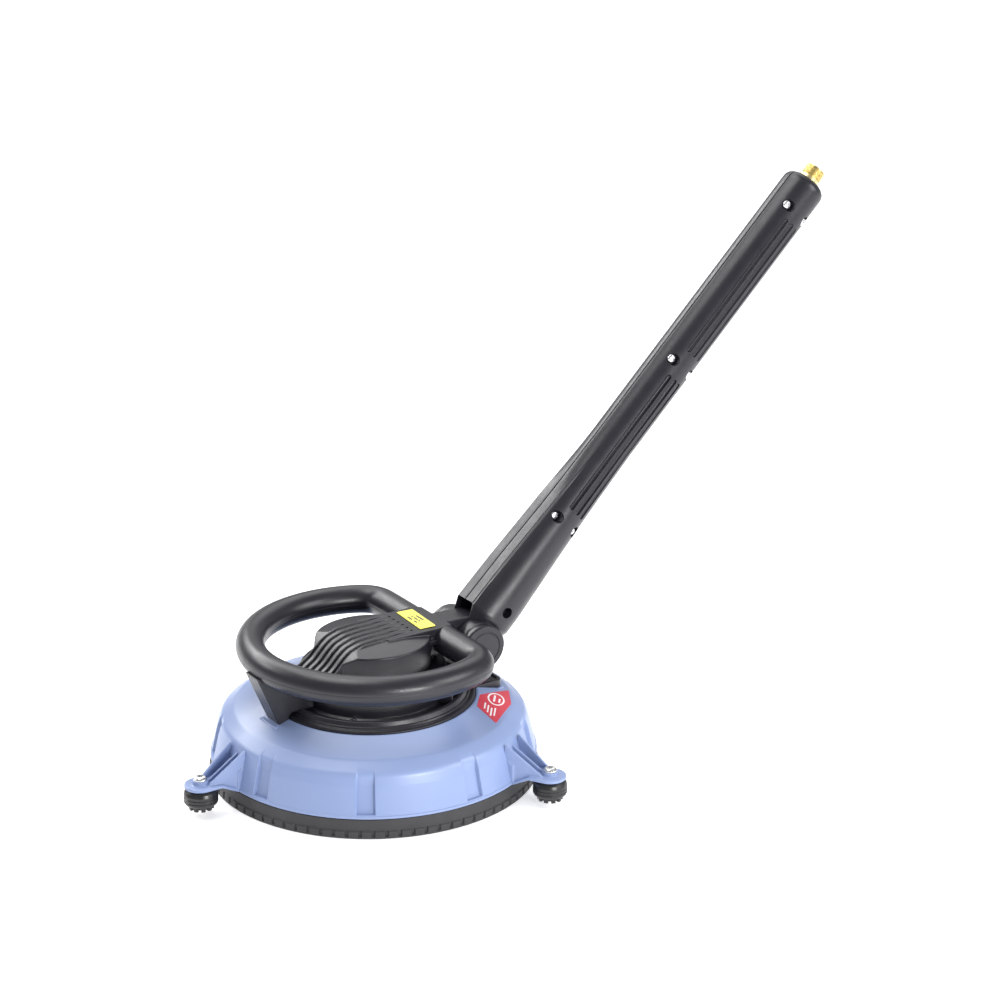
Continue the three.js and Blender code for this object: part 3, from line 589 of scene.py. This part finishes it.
def flute_cutters(band):
    """Bars that cut the flutes along the band. They run out just above the neck."""
    line = [*band, (4, DOME_TOP), (14, DOME_TOP + 0.45), (26, DOME_TOP + 1.25)]
    under = [(x + 1.5, z - 1.7) for x, z in line][::-1]
    over = [(x - 5, z + 6) for x, z in line]
    pitch = 2 * BAND_HALF / FLUTES
    middles = [(k - (FLUTES - 1) / 2) * pitch for k in range(FLUTES)]
    return [prism("flute", [*over, *under], y - 2.0, y + 2.0, "xz") for y in middles]


def build_housing():
    band = band_line()
    parts = dome_and_band(band) + neck_parts()
    px, pz = PIVOT[0], PIVOT[2]
    half, r = TONGUE_HALF, BARREL_R
    tongue = [(40, 118), (40, 144), (px - 12, pz + r), (px, pz + r), (px, pz - r), (px - 14, pz - 24),
              (75, 113), (62, 113)]
    parts.append(prism("tongue", tongue, -half, half, "xz"))
    barrel = fillet([(0, -half), (r, -half), (r, half), (0, half)], [0, 0.8, 0.8, 0], 3, closed=False)
    parts.append(move(lathe("barrel", barrel, 72, closed=False), shifted(px, 0, pz) @ ACROSS))
    gusset = [(NECK_END - 6, 133), (62, 112.6), (30, 112.6), (30, 133)]
    for y in (-22, 19):
        parts.append(prism("gusset", gusset, y, y + 2.6, "xz"))
    for y in (-30, 27.5):
        parts.append(prism("gusset", [(60, 133), (52, 118), (46, 118), (40, 133)], y, y + 2.4, "xz"))
    made = fused("housing_dome", parts, flute_cutters(band), voxel=0.55, relax=1)
    bores = [cylinder("shaft", 19.5, 100, 128, 48),
             move(cylinder("pivot", 9.5, -20, 20, 40), shifted(px, 0, pz) @ ACROSS)]
    for k in range(DOTS):
        y = (k - (DOTS - 1) / 2) * 8.4
        bores.append(move(cylinder("dot", 1.4, 144, 150, 20), shifted(32.5, y)))
    for x, y in ((-12, 16), (2, 4), (-20, -6)):
        bores.append(move(cylinder("pin", 0.6, 144.6, 150, 12), shifted(x, y)))
    for bore in bores:
        boolean(made, bore)
    smooth(made, 55)
    return piece(made, "base", "body_plastic", BLACK, "top_housing")


# ---------------------------------------------------------------- handle
def ring_line(count):
    """Points along the ring's centre line from the near bar round to the far one."""
    cx = BAR_X - BEND_R
    cy = math.sqrt((RING_R - BEND_R) ** 2 - cx ** 2)
    bend = math.atan2(cy, cx)
    start = NECK_HALF - 4
    lengths = [cy - start, BEND_R * bend, 2 * RING_R * (math.pi - bend), BEND_R * bend, cy - start]

    def arc(x, y, r, angle):
        return x + r * math.cos(angle), y + r * math.sin(angle)

    points = []
    for s in np.linspace(0, sum(lengths), count):
        k = 0
        while k < 4 and s > lengths[k]:
            s -= lengths[k]
            k += 1
        x, y = [
            lambda: (BAR_X, -start - s),
            lambda: arc(cx, -cy, BEND_R, -s / BEND_R),
            lambda: arc(0, 0, RING_R, -bend - s / RING_R),
            lambda: arc(cx, cy, BEND_R, bend - s / BEND_R),
            lambda: (BAR_X, cy - s),
        ][k]()
        points.append((x, y, RING_Z - RING_SLOPE * x))
    return np.array(points)


def build_ring():
    line = ring_line(260)
    for _ in range(10):
        line[1:-1] = (line[:-2] + 2 * line[1:-1] + line[2:]) / 4
    way = np.gradient(line, axis=0)
    way /= np.linalg.norm(way, axis=1)[:, None]
    up = np.array([0, 0, 1.0])
    side = np.cross(way, up)
    side /= np.linalg.norm(side, axis=1)[:, None]
    rise = np.cross(side, way)
    beside = 0.025
    beside_seams = [beside, 2 * math.pi - beside, math.pi - beside, math.pi + beside]
    angle = np.sort([*np.linspace(0, 2 * math.pi, 44, endpoint=False), *beside_seams])
    seam = np.exp(-(np.sin(angle) / 0.02) ** 2) * 0.22
    radius = TUBE_R - 0.05 - seam
    points = (line[:, None, :] + side[:, None, :] * (radius * np.cos(angle))[None, :, None]
              + rise[:, None, :] * (radius * np.sin(angle))[None, :, None])
    rows, columns = points.shape[:2]
    faces = grid_faces(rows, columns, False, True)
    faces += [list(range(columns)), list(range((rows - 1) * columns, rows * columns))[::-1]]
    made = clean(raw_object("grab_ring", points.reshape(-1, 3), faces))
    smooth(made, 60)
    return piece(made, "base", "body_plastic", BLACK, "handle_ring")


def build_leg():
    side = [(-136.2, 130), (-112.6, 74.6), (-102.2, 76.5), (-102.2, 84), (-98, 86.5), (-73.8, 86.5),
            (-73.8, 117.5), (-84, 121.5), (-94, 123), (-104, 130)]
    body = prism("leg", side, -12, 12, "xz")
    groove = [(-141, 128), (-116.0, 70), (-110.6, 70), (-134.3, 126), (-134.8, 128)]
    cutters = [prism("leg_groove", groove, y - 1.3, y + 1.3, "xz") for y in (-6, 0, 6)]
    made = fused("ring_leg", [body], cutters, voxel=0.55)
    pin = cylinder("pin_hole", 0.9, -20, 20, 16)
    boolean(made, move(pin, shifted(-101, 0, 113) @ ACROSS))
    smooth(made, 60)
    return piece(made, "base", "body_plastic", BLACK, "handle_leg")


# ---------------------------------------------------------------- wand
HULL_S = [14, 28, 46, 80, 120, 170, 245, 576, 585, 588]
HULL_R = [25.5, 31, 31, 29.2, 27.2, 25, 23.2, 23.2, 20.5, 15]
WAND_R = 23.2
CAP_START, WAND_END = 575, 588
WAND_LOW = 14  # where the hull starts, beside the pivot


def hull_radius(s):
    """The hull's radius s millimetres from the pivot, with soft changes between the stations."""
    fine = np.linspace(WAND_LOW, WAND_END, 1149)
    radius = np.interp(fine, HULL_S, HULL_R)
    body = radius.copy()
    for _ in range(300):
        body[1:-1] = (body[:-2] + 2 * body[1:-1] + body[2:]) / 4
    keep = smoothstep((fine - 28) / 12) * (1 - smoothstep((fine - 556) / 10))
    body = body * keep + radius * (1 - keep)
    return np.interp(s, fine, body)


def wand_hull():
    """The wand's outside. Its spine is flat near the pivot and rounds off towards the end."""
    low_end = [14, 16, 18.5, 21.5, 25, 28, 30]
    cap_end = [575, 576.5, 578, 580, 582, 584, 585.4, 586.6, 587.4, 588]
    s = np.concatenate([low_end, np.arange(33, 574, 3.0), cap_end])
    radius = hull_radius(s)
    cap = s > CAP_START
    radius[cap] = WAND_R - 7.0 * ((s[cap] - CAP_START) / (WAND_END - CAP_START)) ** 4
    flat = np.interp(s, [14, 24, 80, 150, 230, 588], [29.9, 29.8, 28.4, 24.9, 21.6, 21.6])
    round_off = smoothstep((s - 150) / 90)
    across = [13.9, 13.75, 13.45, 13.15, 12.8, 12.2, 11, 8, 5, 2, 0.8, 0.45, 0.2, 0]
    shares = [0, 0.15, 0.5, 0.85, 0.97, *[1] * 9]  # how far each point has gone from the round to the flat
    dips = [*[0] * 10, 0.1, 0.5, 0.9, 1.0]  # the parting groove down the middle
    rows = []
    for k, r in enumerate(radius):
        half_top = []
        for y, share, dip in zip(across, shares, dips):
            y = min(y, r * 0.93)
            ring = math.sqrt(max(r * r - y * y, 0))
            top = flat[k] * (1 - round_off[k]) + ring * round_off[k]
            if s[k] < 24:
                top = max(ring, min(top, ring + 1.5))
            elif s[k] > CAP_START:
                top = ring
            half_top.append((y, ring * (1 - share) + top * share - dip))
        start = math.asin(min(across[0], r * 0.93) / r)
        angles = np.linspace(start, 2 * math.pi - start, 132)[1:-1]
        side = [(r * math.sin(a), r * math.cos(a)) for a in angles]
        near = [(-y, n) for y, n in half_top]
        rows.append(half_top[::-1] + side + near[:-1])
    rows = np.array(rows)
    points = np.concatenate([np.broadcast_to(s[:, None, None], (*rows.shape[:2], 1)), rows], -1)
    count, columns = rows.shape[:2]
    faces = grid_faces(count, columns, False, True)
    faces += [list(range(columns)), list(range((count - 1) * columns, count * columns))[::-1]]
    return clean(raw_object("hull", points.reshape(-1, 3), faces))


SCREW_STATIONS = (150, 350, 550)
SCREW_OFFSET = 14.5
WELL_R, WELL_FLOOR = 6, 13.6
GROOVES = ((365.5, 538, (68.5, 90, 112)), (163.7, 335.5, (69, 90, 110)))  # from, to, angles from the spine
GROOVE_R = 2.7
PARTING_HALF = 0.15
KNUCKLE_HALF = 31


def groove_tool(low, high, roll):
    """A round-ended bar that lies in the wand's surface, which leans where the wand tapers."""
    swing = np.linspace(-math.pi / 2, math.pi / 2, 16)
    ends = [low + GROOVE_R if a < 0 else high - GROOVE_R for a in swing]
    profile = [(GROOVE_R * math.cos(a), end + GROOVE_R * math.sin(a)) for a, end in zip(swing, ends)]
    profile[0], profile[-1] = (0, low), (0, high)
    tool = move(lathe("groove", profile, 20, closed=False), ALONG_WAND)
    middle = (low + high) / 2
    taper = float(hull_radius(high) - hull_radius(low))
    lean = turn(-math.degrees(math.atan2(taper, high - low)), "Y")
    place = shifted(middle, 0, float(hull_radius(middle)) + 0.55) @ lean @ shifted(-middle)
    return move(tool, turn(roll, "X") @ place)


def cut_wand(hull):
    """The mouth for the tongue, the screw wells, the grooves and the peep hole."""
    mouth = rounded_rectangle(-45, 29, -13.6, 13.6, 2.5)
    boolean(hull, prism("mouth", mouth, -45, 45))
    boolean(hull, move(cylinder("barrel_room", 28.7, -13.6, 13.6, 96), ACROSS))
    for s in SCREW_STATIONS:
        for n in (-SCREW_OFFSET, SCREW_OFFSET):
            profile = [(0, WELL_FLOOR), (WELL_R, WELL_FLOOR), (WELL_R, 40), (0, 40)]
            profile = fillet(profile, [0, 0.3, 0, 0], 2, closed=False)
            boolean(hull, move(lathe("well", profile, 40, closed=False), shifted(s, 0, n) @ ACROSS))
    for low, high, angles in GROOVES:
        for angle in angles:
            for side in (-1, 1):
                boolean(hull, groove_tool(low, high, -side * angle))
    boolean(hull, move(cylinder("peep", 5.6, 20, 60, 40), shifted(42) @ ACROSS))


def build_wand():
    hull = wand_hull()
    half = KNUCKLE_HALF
    knuckle = fillet([(0, -half), (25, -half), (25, half), (0, half)], [0, 4.5, 4.5, 0], 8, closed=False)
    boolean(hull, move(lathe("knuckle", knuckle, 96, closed=False), ACROSS), "UNION")
    cut_wand(hull)
    for side, low, high in (("near", -60, -PARTING_HALF), ("far", PARTING_HALF, 60)):
        shell = bpy.data.objects.new("wand_" + side, hull.data.copy())
        bpy.context.scene.collection.objects.link(shell)
        boolean(shell, block("half", (-70, 640), (low, high), (-70, 70)), "INTERSECT")
        move(smooth(shell, 38), WAND_PLACE)
        piece(shell, "wand", "body_plastic", BLACK, "wand_shell_" + side)
    drop(hull)
    profile = [(0, 29), (24, 29), (24, 34.2), (22.4, 36), (17.6, 36), (17.0, 35.3), (16.0, 35.3), (15.4, 36),
               (0, 36)]
    profile = fillet(profile, [0, 0.3, 1.4, 1.2, 0.3, 0.2, 0.2, 0.3, 0], 4, closed=False)
    for side, node in ((1, "knuckle_cap_near"), (-1, "knuckle_cap_far")):
        cap = smooth(lathe(node + "_disc", profile, 96, closed=False), 50)
        move(cap, WAND_PLACE @ turn(90 * side, "X"))
        piece(cap, "wand", "body_plastic", BLACK, node)


def build_inlet():
    segments, pitch, thread_height = 96, 1.5, 1.15
    z = np.concatenate([[560, 587.6, 588.35], np.arange(588.6, 604.61, 0.18)])
    theta = np.linspace(0, 2 * math.pi, segments, endpoint=False)
    phase = (z[:, None] - pitch * theta[None, :] / (2 * math.pi)) / pitch % 1
    tooth = np.abs(phase - 0.5) * 2
    thread = smoothstep((z - 592.6) / 1.0)[:, None] * (1 - smoothstep((z - 603.0) / 1.0))[:, None]
    stations = [560, 588.3, 588.6, 591.3, 591.8, 592.6, 603.4, 604.6]
    base = np.interp(z, stations, [9, 9, 11.2, 11.2, 10.2, 10.2, 10.2, 9.9])
    r = base[:, None] + thread * (tooth * thread_height)
    outer = np.stack([r * np.cos(theta), r * np.sin(theta), z[:, None] + 0 * theta], -1)
    inner = [(6.9, 604.6), (6.5, 604.2), (6.5, 597), (4, 596.6), (4, 575), (7.4, 574), (7.4, 560)]
    ring = np.array([[(a * math.cos(t), a * math.sin(t), b) for t in theta] for a, b in inner])
    points = np.concatenate([outer, ring])
    faces = grid_faces(len(points), segments, True, True)
    made = clean(raw_object("inlet_fitting", points.reshape(-1, 3), faces))
    move(smooth(made, 45), WAND_PLACE @ ALONG_WAND)
    return piece(made, "wand", "brass", BRASS, "hose_inlet")


# ---------------------------------------------------------------- fasteners
def cross_screw(name, head_r, head_h, shank_r, length, slot_w=1.3):
    """A pan-head screw about Z, with its head standing on z = 0 and a shallow cross."""
    profile = [(0, -length), (shank_r, -length), (shank_r, 0), (head_r, 0), (head_r, head_h * 0.35),
               (head_r * 0.72, head_h * 0.9), (0, head_h)]
    profile = fillet(profile, [0, 0.2, 0.1, 0.2, head_h * 0.4, head_h * 0.6, 0], 5, closed=False)
    made = lathe(name, profile, 48, closed=False)
    reach = head_r * 0.42
    for angle in (20, 110):
        slot = block("slot", (-reach, reach), (-slot_w / 2, slot_w / 2), (head_h * 0.6, head_h + 2))
        boolean(made, move(slot, turn(angle)))
    return smooth(made, 35)


def build_fasteners():
    for k in range(4):
        node = f"flange_screw_{k + 1}"
        low, high = node_box(node)
        screw = cross_screw(node + "_head", 4.6, 3, 2.1, 19)
        move(screw, shifted(*((low + high) / 2)[:2], high[2] - 3))
        piece(screw, "base", "steel", STEEL, node)
    for k, place in enumerate(ROLLERS):
        node = f"roller_bolt_{k + 1}"
        high = node_box(node)[1]
        bolt = cross_screw(node + "_head", 6.8, 3.4, 3, 29.4, 1.8)
        move(bolt, shifted(*place, high[2] - 3.4))
        piece(bolt, "base", "steel", STEEL, node)
        low, high = node_box(f"roller_nut_{k + 1}")
        nut = lathe("nut", fillet([(3.2, low[2]), (6.2, low[2]), (6.2, high[2]), (3.2, high[2])], 0.35, 2), 6)
        nut.name = f"roller_nut_{k + 1}_hex"
        move(smooth(nut, 25), shifted(*place))
        piece(nut, "base", "steel", STEEL, f"roller_nut_{k + 1}")
    index = 1
    for s in SCREW_STATIONS:
        for n in (SCREW_OFFSET, -SCREW_OFFSET):
            screw = cross_screw(f"shell_screw_{index}_head", 4.8, 2.8, 1.7, 26, 1.0)
            move(screw, WAND_PLACE @ shifted(s, -14.3, n) @ turn(90, "X"))
            piece(screw, "wand", "steel", STEEL, f"shell_screw_{index}")
            index += 1


# ---------------------------------------------------------------- rollers
def build_rollers():
    for k, place in enumerate(ROLLERS):
        under = [(5.4, 10.2), (7.2, 10.2), (7.2, 7.6), (10.6, 7.6), (11, 9.9), (15.6, 11.6), (16.7, 13.4)]
        rims = [(16.8, 15.2), (16.2, 15.6), (16.2, 16.2), (16.8, 16.6), (16.8, 18.6), (16.2, 19.0)]
        over = [(16.2, 19.6), (16.8, 20.0), (16.7, 22.2), (15.6, 25.0), (13.4, 27.3), (9, 27.4), (8.6, 26.4),
                (5.4, 26.4)]
        profile = [*under, *rims, *over]
        wheel = lathe("wheel", fillet(profile, 0.35, 3), 96)
        teeth = []
        for j in range(10):
            outline = [(8.2, -1.6), (12.2, -2.3), (12.6, 0), (12.2, 2.3), (8.2, 1.6)]
            tooth = edged(prism("tooth", fillet(outline, 0.5, 3), 6.15, 11.0), 0.35, 2)
            teeth.append(move(tooth, turn(36 * j)))
        made = smooth(joined(f"guide_roller_{k + 1}", [wheel, *teeth]), 40)
        move(made, shifted(*place))
        piece(made, f"roller_wheel_{k + 1}", "roller_plastic", ROLLER, f"roller_{k + 1}")
        low, high = node_box(f"roller_bush_{k + 1}")
        bush = [(3.35, low[2]), (4.9, low[2]), (4.9, high[2]), (3.35, high[2])]
        bush = smooth(lathe(f"bush_{k + 1}", fillet(bush, 0.3, 2), 40), 40)
        move(bush, shifted(*place))
        piece(bush, f"roller_wheel_{k + 1}", "brass", BRASS, f"roller_bush_{k + 1}")


# ---------------------------------------------------------------- labels
def film_and_marks(name, film, marks, slot, paints, place=Matrix()):
    """A label: the film takes the first paint and the marks the second."""
    count = len(film.data.polygons)
    made = move(joined(name, [film, *marks]), place)
    piece(made, "base", slot, paints, slot)
    index = [0 if k < count else 1 for k in range(len(made.data.polygons))]
    made.data.polygons.foreach_set("material_index", index)


def build_yellow_label():
    low, high = node_box("yellow_label")
    x0, x1, half = low[0], high[0], high[1] - 0.4
    lean = 3.0
    outline = [(x0 + lean, half), (x1 + lean, half - 1.5), (x1 - lean, -half), (x0 - lean + 1, -half + 1)]
    outline = [(min(max(x, x0), x1), y) for x, y in outline]
    film = prism("film", fillet(outline, 1.2, 4), low[2] - 0.25, high[2] - 0.05)
    marks = []
    for row, spans in enumerate((((-9, -3), (0, 9)), ((-8, -5), (-3, 4), (6, 9)), ((-7, 7),))):
        x = x0 + 4.8 + row * 4.4
        for span in spans:
            marks.append(block("mark", (x, x + 2.1), span, (high[2] - 0.12, high[2])))
    film_and_marks("label_yellow", film, marks, "yellow_label", [YELLOW, INK])


ROOF_EDGE_R, ROOF_EDGE_Z = OPENING_R + 2, OPENING_Z + 0.35
ROOF_FALL = 10.15 / 34


def on_the_roof(outline, lift_low, lift_high, name):
    """A patch that follows the shroud's sloping roof."""
    flat = prism(name, outline, 0, 1)
    bm = bmesh.new()
    bm.from_mesh(flat.data)
    bmesh.ops.triangulate(bm, faces=bm.faces)
    bmesh.ops.subdivide_edges(bm, edges=bm.edges, cuts=5, use_grid_fill=True)
    for v in bm.verts:
        lift = lift_high if v.co.z > 0.5 * MM else lift_low
        r = math.hypot(v.co.x, v.co.y) / MM
        v.co.z = (ROOF_EDGE_Z - (r - ROOF_EDGE_R) * ROOF_FALL + lift) * MM
    bm.to_mesh(flat.data)
    bm.free()
    return flat


def build_red_label():
    """A five-sided film with a generic ring, two bars and four lines."""
    shape = fillet([(105.5, -24), (106, 2), (132, 36), (137, 3), (126, -46)], 1.6, 4)
    film = on_the_roof(shape, -0.3, 0.28, "film")
    x, y, a, b = 122.0, 3.0, 8.4, 14.0
    around = np.linspace(0, 2 * math.pi, 48, endpoint=False)
    ring = [(x + a * math.cos(t), y + b * math.sin(t)) for t in around]
    hole = [(x + (a - 1.6) * math.cos(t), y + (b - 2.0) * math.sin(t)) for t in around]
    outlines = [[ring[k - 1], ring[k], hole[k], hole[k - 1]] for k in range(len(around))]
    strokes = ((119.5, -4, 11, 1.8), (124.5, -3, 6, 1.8), (112.0, -24.5, -12, 1.5), (115.4, -30, -15, 1.5),
               (118.8, -35, -19, 1.5), (122.2, -33, -17, 1.5))
    for x, y0, y1, width in strokes:
        outlines.append([(x, y0), (x, y1), (x + width, y1), (x + width, y0)])
    marks = [on_the_roof(outline, 0.0, 0.36, "mark") for outline in outlines]
    film_and_marks("label_red", film, marks, "red_label", [RED, WHITE], turn(-38))


# ---------------------------------------------------------------- spray bar
def build_rotor():
    reach = 128
    z = 35
    for k, angle in enumerate((0, 180)):
        tube = [(2.5, 16.3), (6.6, 16.3), (6.6, 24), (5, 24.6), (5, reach - 5), (2.5, reach - 5)]
        tube = move(lathe("tube", fillet(tube, 0.4, 3), 48), shifted(0, 0, z) @ ALONG_WAND)
        elbow = [(4.3, 24), (7.4, 24), (7.4, 42.8), (0, 42.8), (0, 37), (4.3, 37)]
        elbow = lathe("elbow", fillet(elbow, [0.4, 0.6, 1.6, 0, 0, 0.2], 4), 48)
        arm = smooth(joined(f"spray_tube_{k + 1}", [tube, move(elbow, shifted(reach))]), 40)
        move(arm, turn(angle))
        piece(arm, "rotor", "steel", STEEL, f"spray_arm_{k + 1}")
        body = fillet([(1.2, 14.1), (4.8, 14.1), (6.2, 16), (6.4, 17)], 0.3, 3, closed=False)
        upper = fillet([(4, 23.7), (4, 30), (1.2, 30)], 0.3, 3, closed=False)
        body = lathe("nozzle_tip", np.concatenate([body, [(6.4, 23.7)], upper]), 6)
        body.name = f"nozzle_tip_{k + 1}"
        move(smooth(body, 30), turn(angle) @ shifted(reach))
        piece(body, "rotor", "brass", BRASS, f"nozzle_{k + 1}")
    hub = prism("spray_hub", rounded_rectangle(-16, 16, -16, 16, 5), 25, 42)
    boolean(hub, cylinder("hub_bore", 8, 0, 60, 48))
    hub = smooth(edged(hub, 0.9))
    hub.modifiers.new("normals", "WEIGHTED_NORMAL").keep_sharp = True
    piece(hub, "rotor", "brass", BRASS, "rotor_hub")
    nut = lathe("spindle_nut", fillet([(5.2, 17.4), (9, 17.4), (9, 24.7), (5.2, 24.7)], 0.6, 3), 6)
    piece(smooth(nut, 25), "rotor", "steel", STEEL, "rotor_nut")
    shaft = [(0, 17.4), (5, 17.4), (5, 25), (7.7, 25), (7.7, 62), (8, 62), (8, 103.5), (0, 103.5)]
    shaft = fillet(shaft, [0, 0.6, 0.2, 0.2, 0.1, 0.1, 0.3, 0], 3, closed=False)
    shaft = lathe("spindle", shaft, 64, closed=False)
    piece(smooth(shaft, 40), "rotor", "steel", STEEL, "rotor_shaft")
    housing = [(14.3, 62), (23, 62), (24, 63), (24, 103), (40, 104), (40, 108.3), (19, 108.3), (19, 127),
               (0, 127), (0, 118), (5, 118), (5, 104), (14.3, 104)]
    housing = lathe("union_body", fillet(housing, [0.4, 0.5, 0.5, 1.5, 1, 1, 1, 1, 0, 0, 0, 0, 0], 3), 96)
    piece(smooth(housing, 40), "base", "alloy", ALLOY, "union_housing")


# ---------------------------------------------------------------- carried-over CAD nodes
CARRIED = {
    "upper_bearing": STEEL, "lower_bearing": STEEL, "bearing_spacer": ALLOY, "retaining_ring": STEEL,
    "shaft_seal": RUBBER, "feed_pipe": STEEL, "pivot_tube": BRASS, "wand_pipe": STEEL, "swivel_eye": BRASS,
}


def paint_carried():
    for node, paint in CARRIED.items():
        carried = frame["nodes"][node]
        carried.data.materials.clear()
        carried.data.materials.append(paint)


# ---------------------------------------------------------------- scene
def build_stage():
    reach, level = 20000, -0.3
    corners = [(-reach, -reach, level), (reach, -reach, level), (reach, reach, level), (-reach, reach, level)]
    floor = raw_object("floor", corners, [(0, 1, 2, 3)])
    paint = bpy.data.materials.new("floor_paint")
    paint.use_nodes = True
    shader = paint.node_tree.nodes["Principled BSDF"]
    shader.inputs["Base Color"].default_value = (0.93, 0.93, 0.935, 1)
    shader.inputs["Roughness"].default_value = 0.55
    shader.inputs["Emission Color"].default_value = (1, 1, 1, 1)
    shader.inputs["Emission Strength"].default_value = 0.42
    floor.data.materials.append(paint)


def area(name, place, target, size, power, colour=(1, 1, 1)):
    data = bpy.data.lights.new(name, "AREA")
    data.shape = "RECTANGLE"
    data.size, data.size_y = size
    data.energy = power
    data.color = colour
    made = bpy.data.objects.new(name, data)
    made.location = place
    made.rotation_euler = (Vector(target) - Vector(place)).to_track_quat("-Z", "Y").to_euler()
    bpy.context.scene.collection.objects.link(made)


def build_light():
    world = bpy.data.worlds.new("studio")
    world.use_nodes = True
    world.node_tree.nodes["Background"].inputs["Color"].default_value = (0.98, 0.99, 1, 1)
    world.node_tree.nodes["Background"].inputs["Strength"].default_value = 0.42
    bpy.context.scene.world = world
    middle = (0.08, 0, 0.15)
    area("strip_back", (-0.6, 2.0, 1.5), middle, (2.4, 0.5), 38)
    area("front_low", (0.02, -1.25, 0.42), (0.2, 0, 0.2), (0.45, 0.22), 9)
    area("front_right", (1.5, -1.7, 1.2), middle, (1.1, 1.1), 26)
    area("top", (-0.3, 0.4, 2.4), middle, (1.5, 1.1), 24)
    area("far_floor", (1.6, 2.9, 3.2), (1.6, 2.9, 0), (5, 4), 130)


def build_camera():
    data = bpy.data.cameras.new("camera")
    data.lens = 108
    data.sensor_width = 36
    data.clip_end = 100
    made = bpy.data.objects.new("camera", data)
    made.location = (-1.3938, -2.3421, 1.2877)
    made.rotation_euler = (math.radians(69.74), 0, math.radians(-33.4))
    bpy.context.scene.collection.objects.link(made)
    bpy.context.scene.camera = made


build_camera()
build_light()
build_stage()
build_shroud()
build_skirt()
build_flange()
build_housing()
build_ring()
build_leg()
build_wand()
build_inlet()
build_fasteners()
build_rollers()
build_yellow_label()
build_red_label()
build_rotor()
paint_carried()
bpy.context.scene.view_settings.view_transform = "Standard"

bpy.context.view_layer.update()
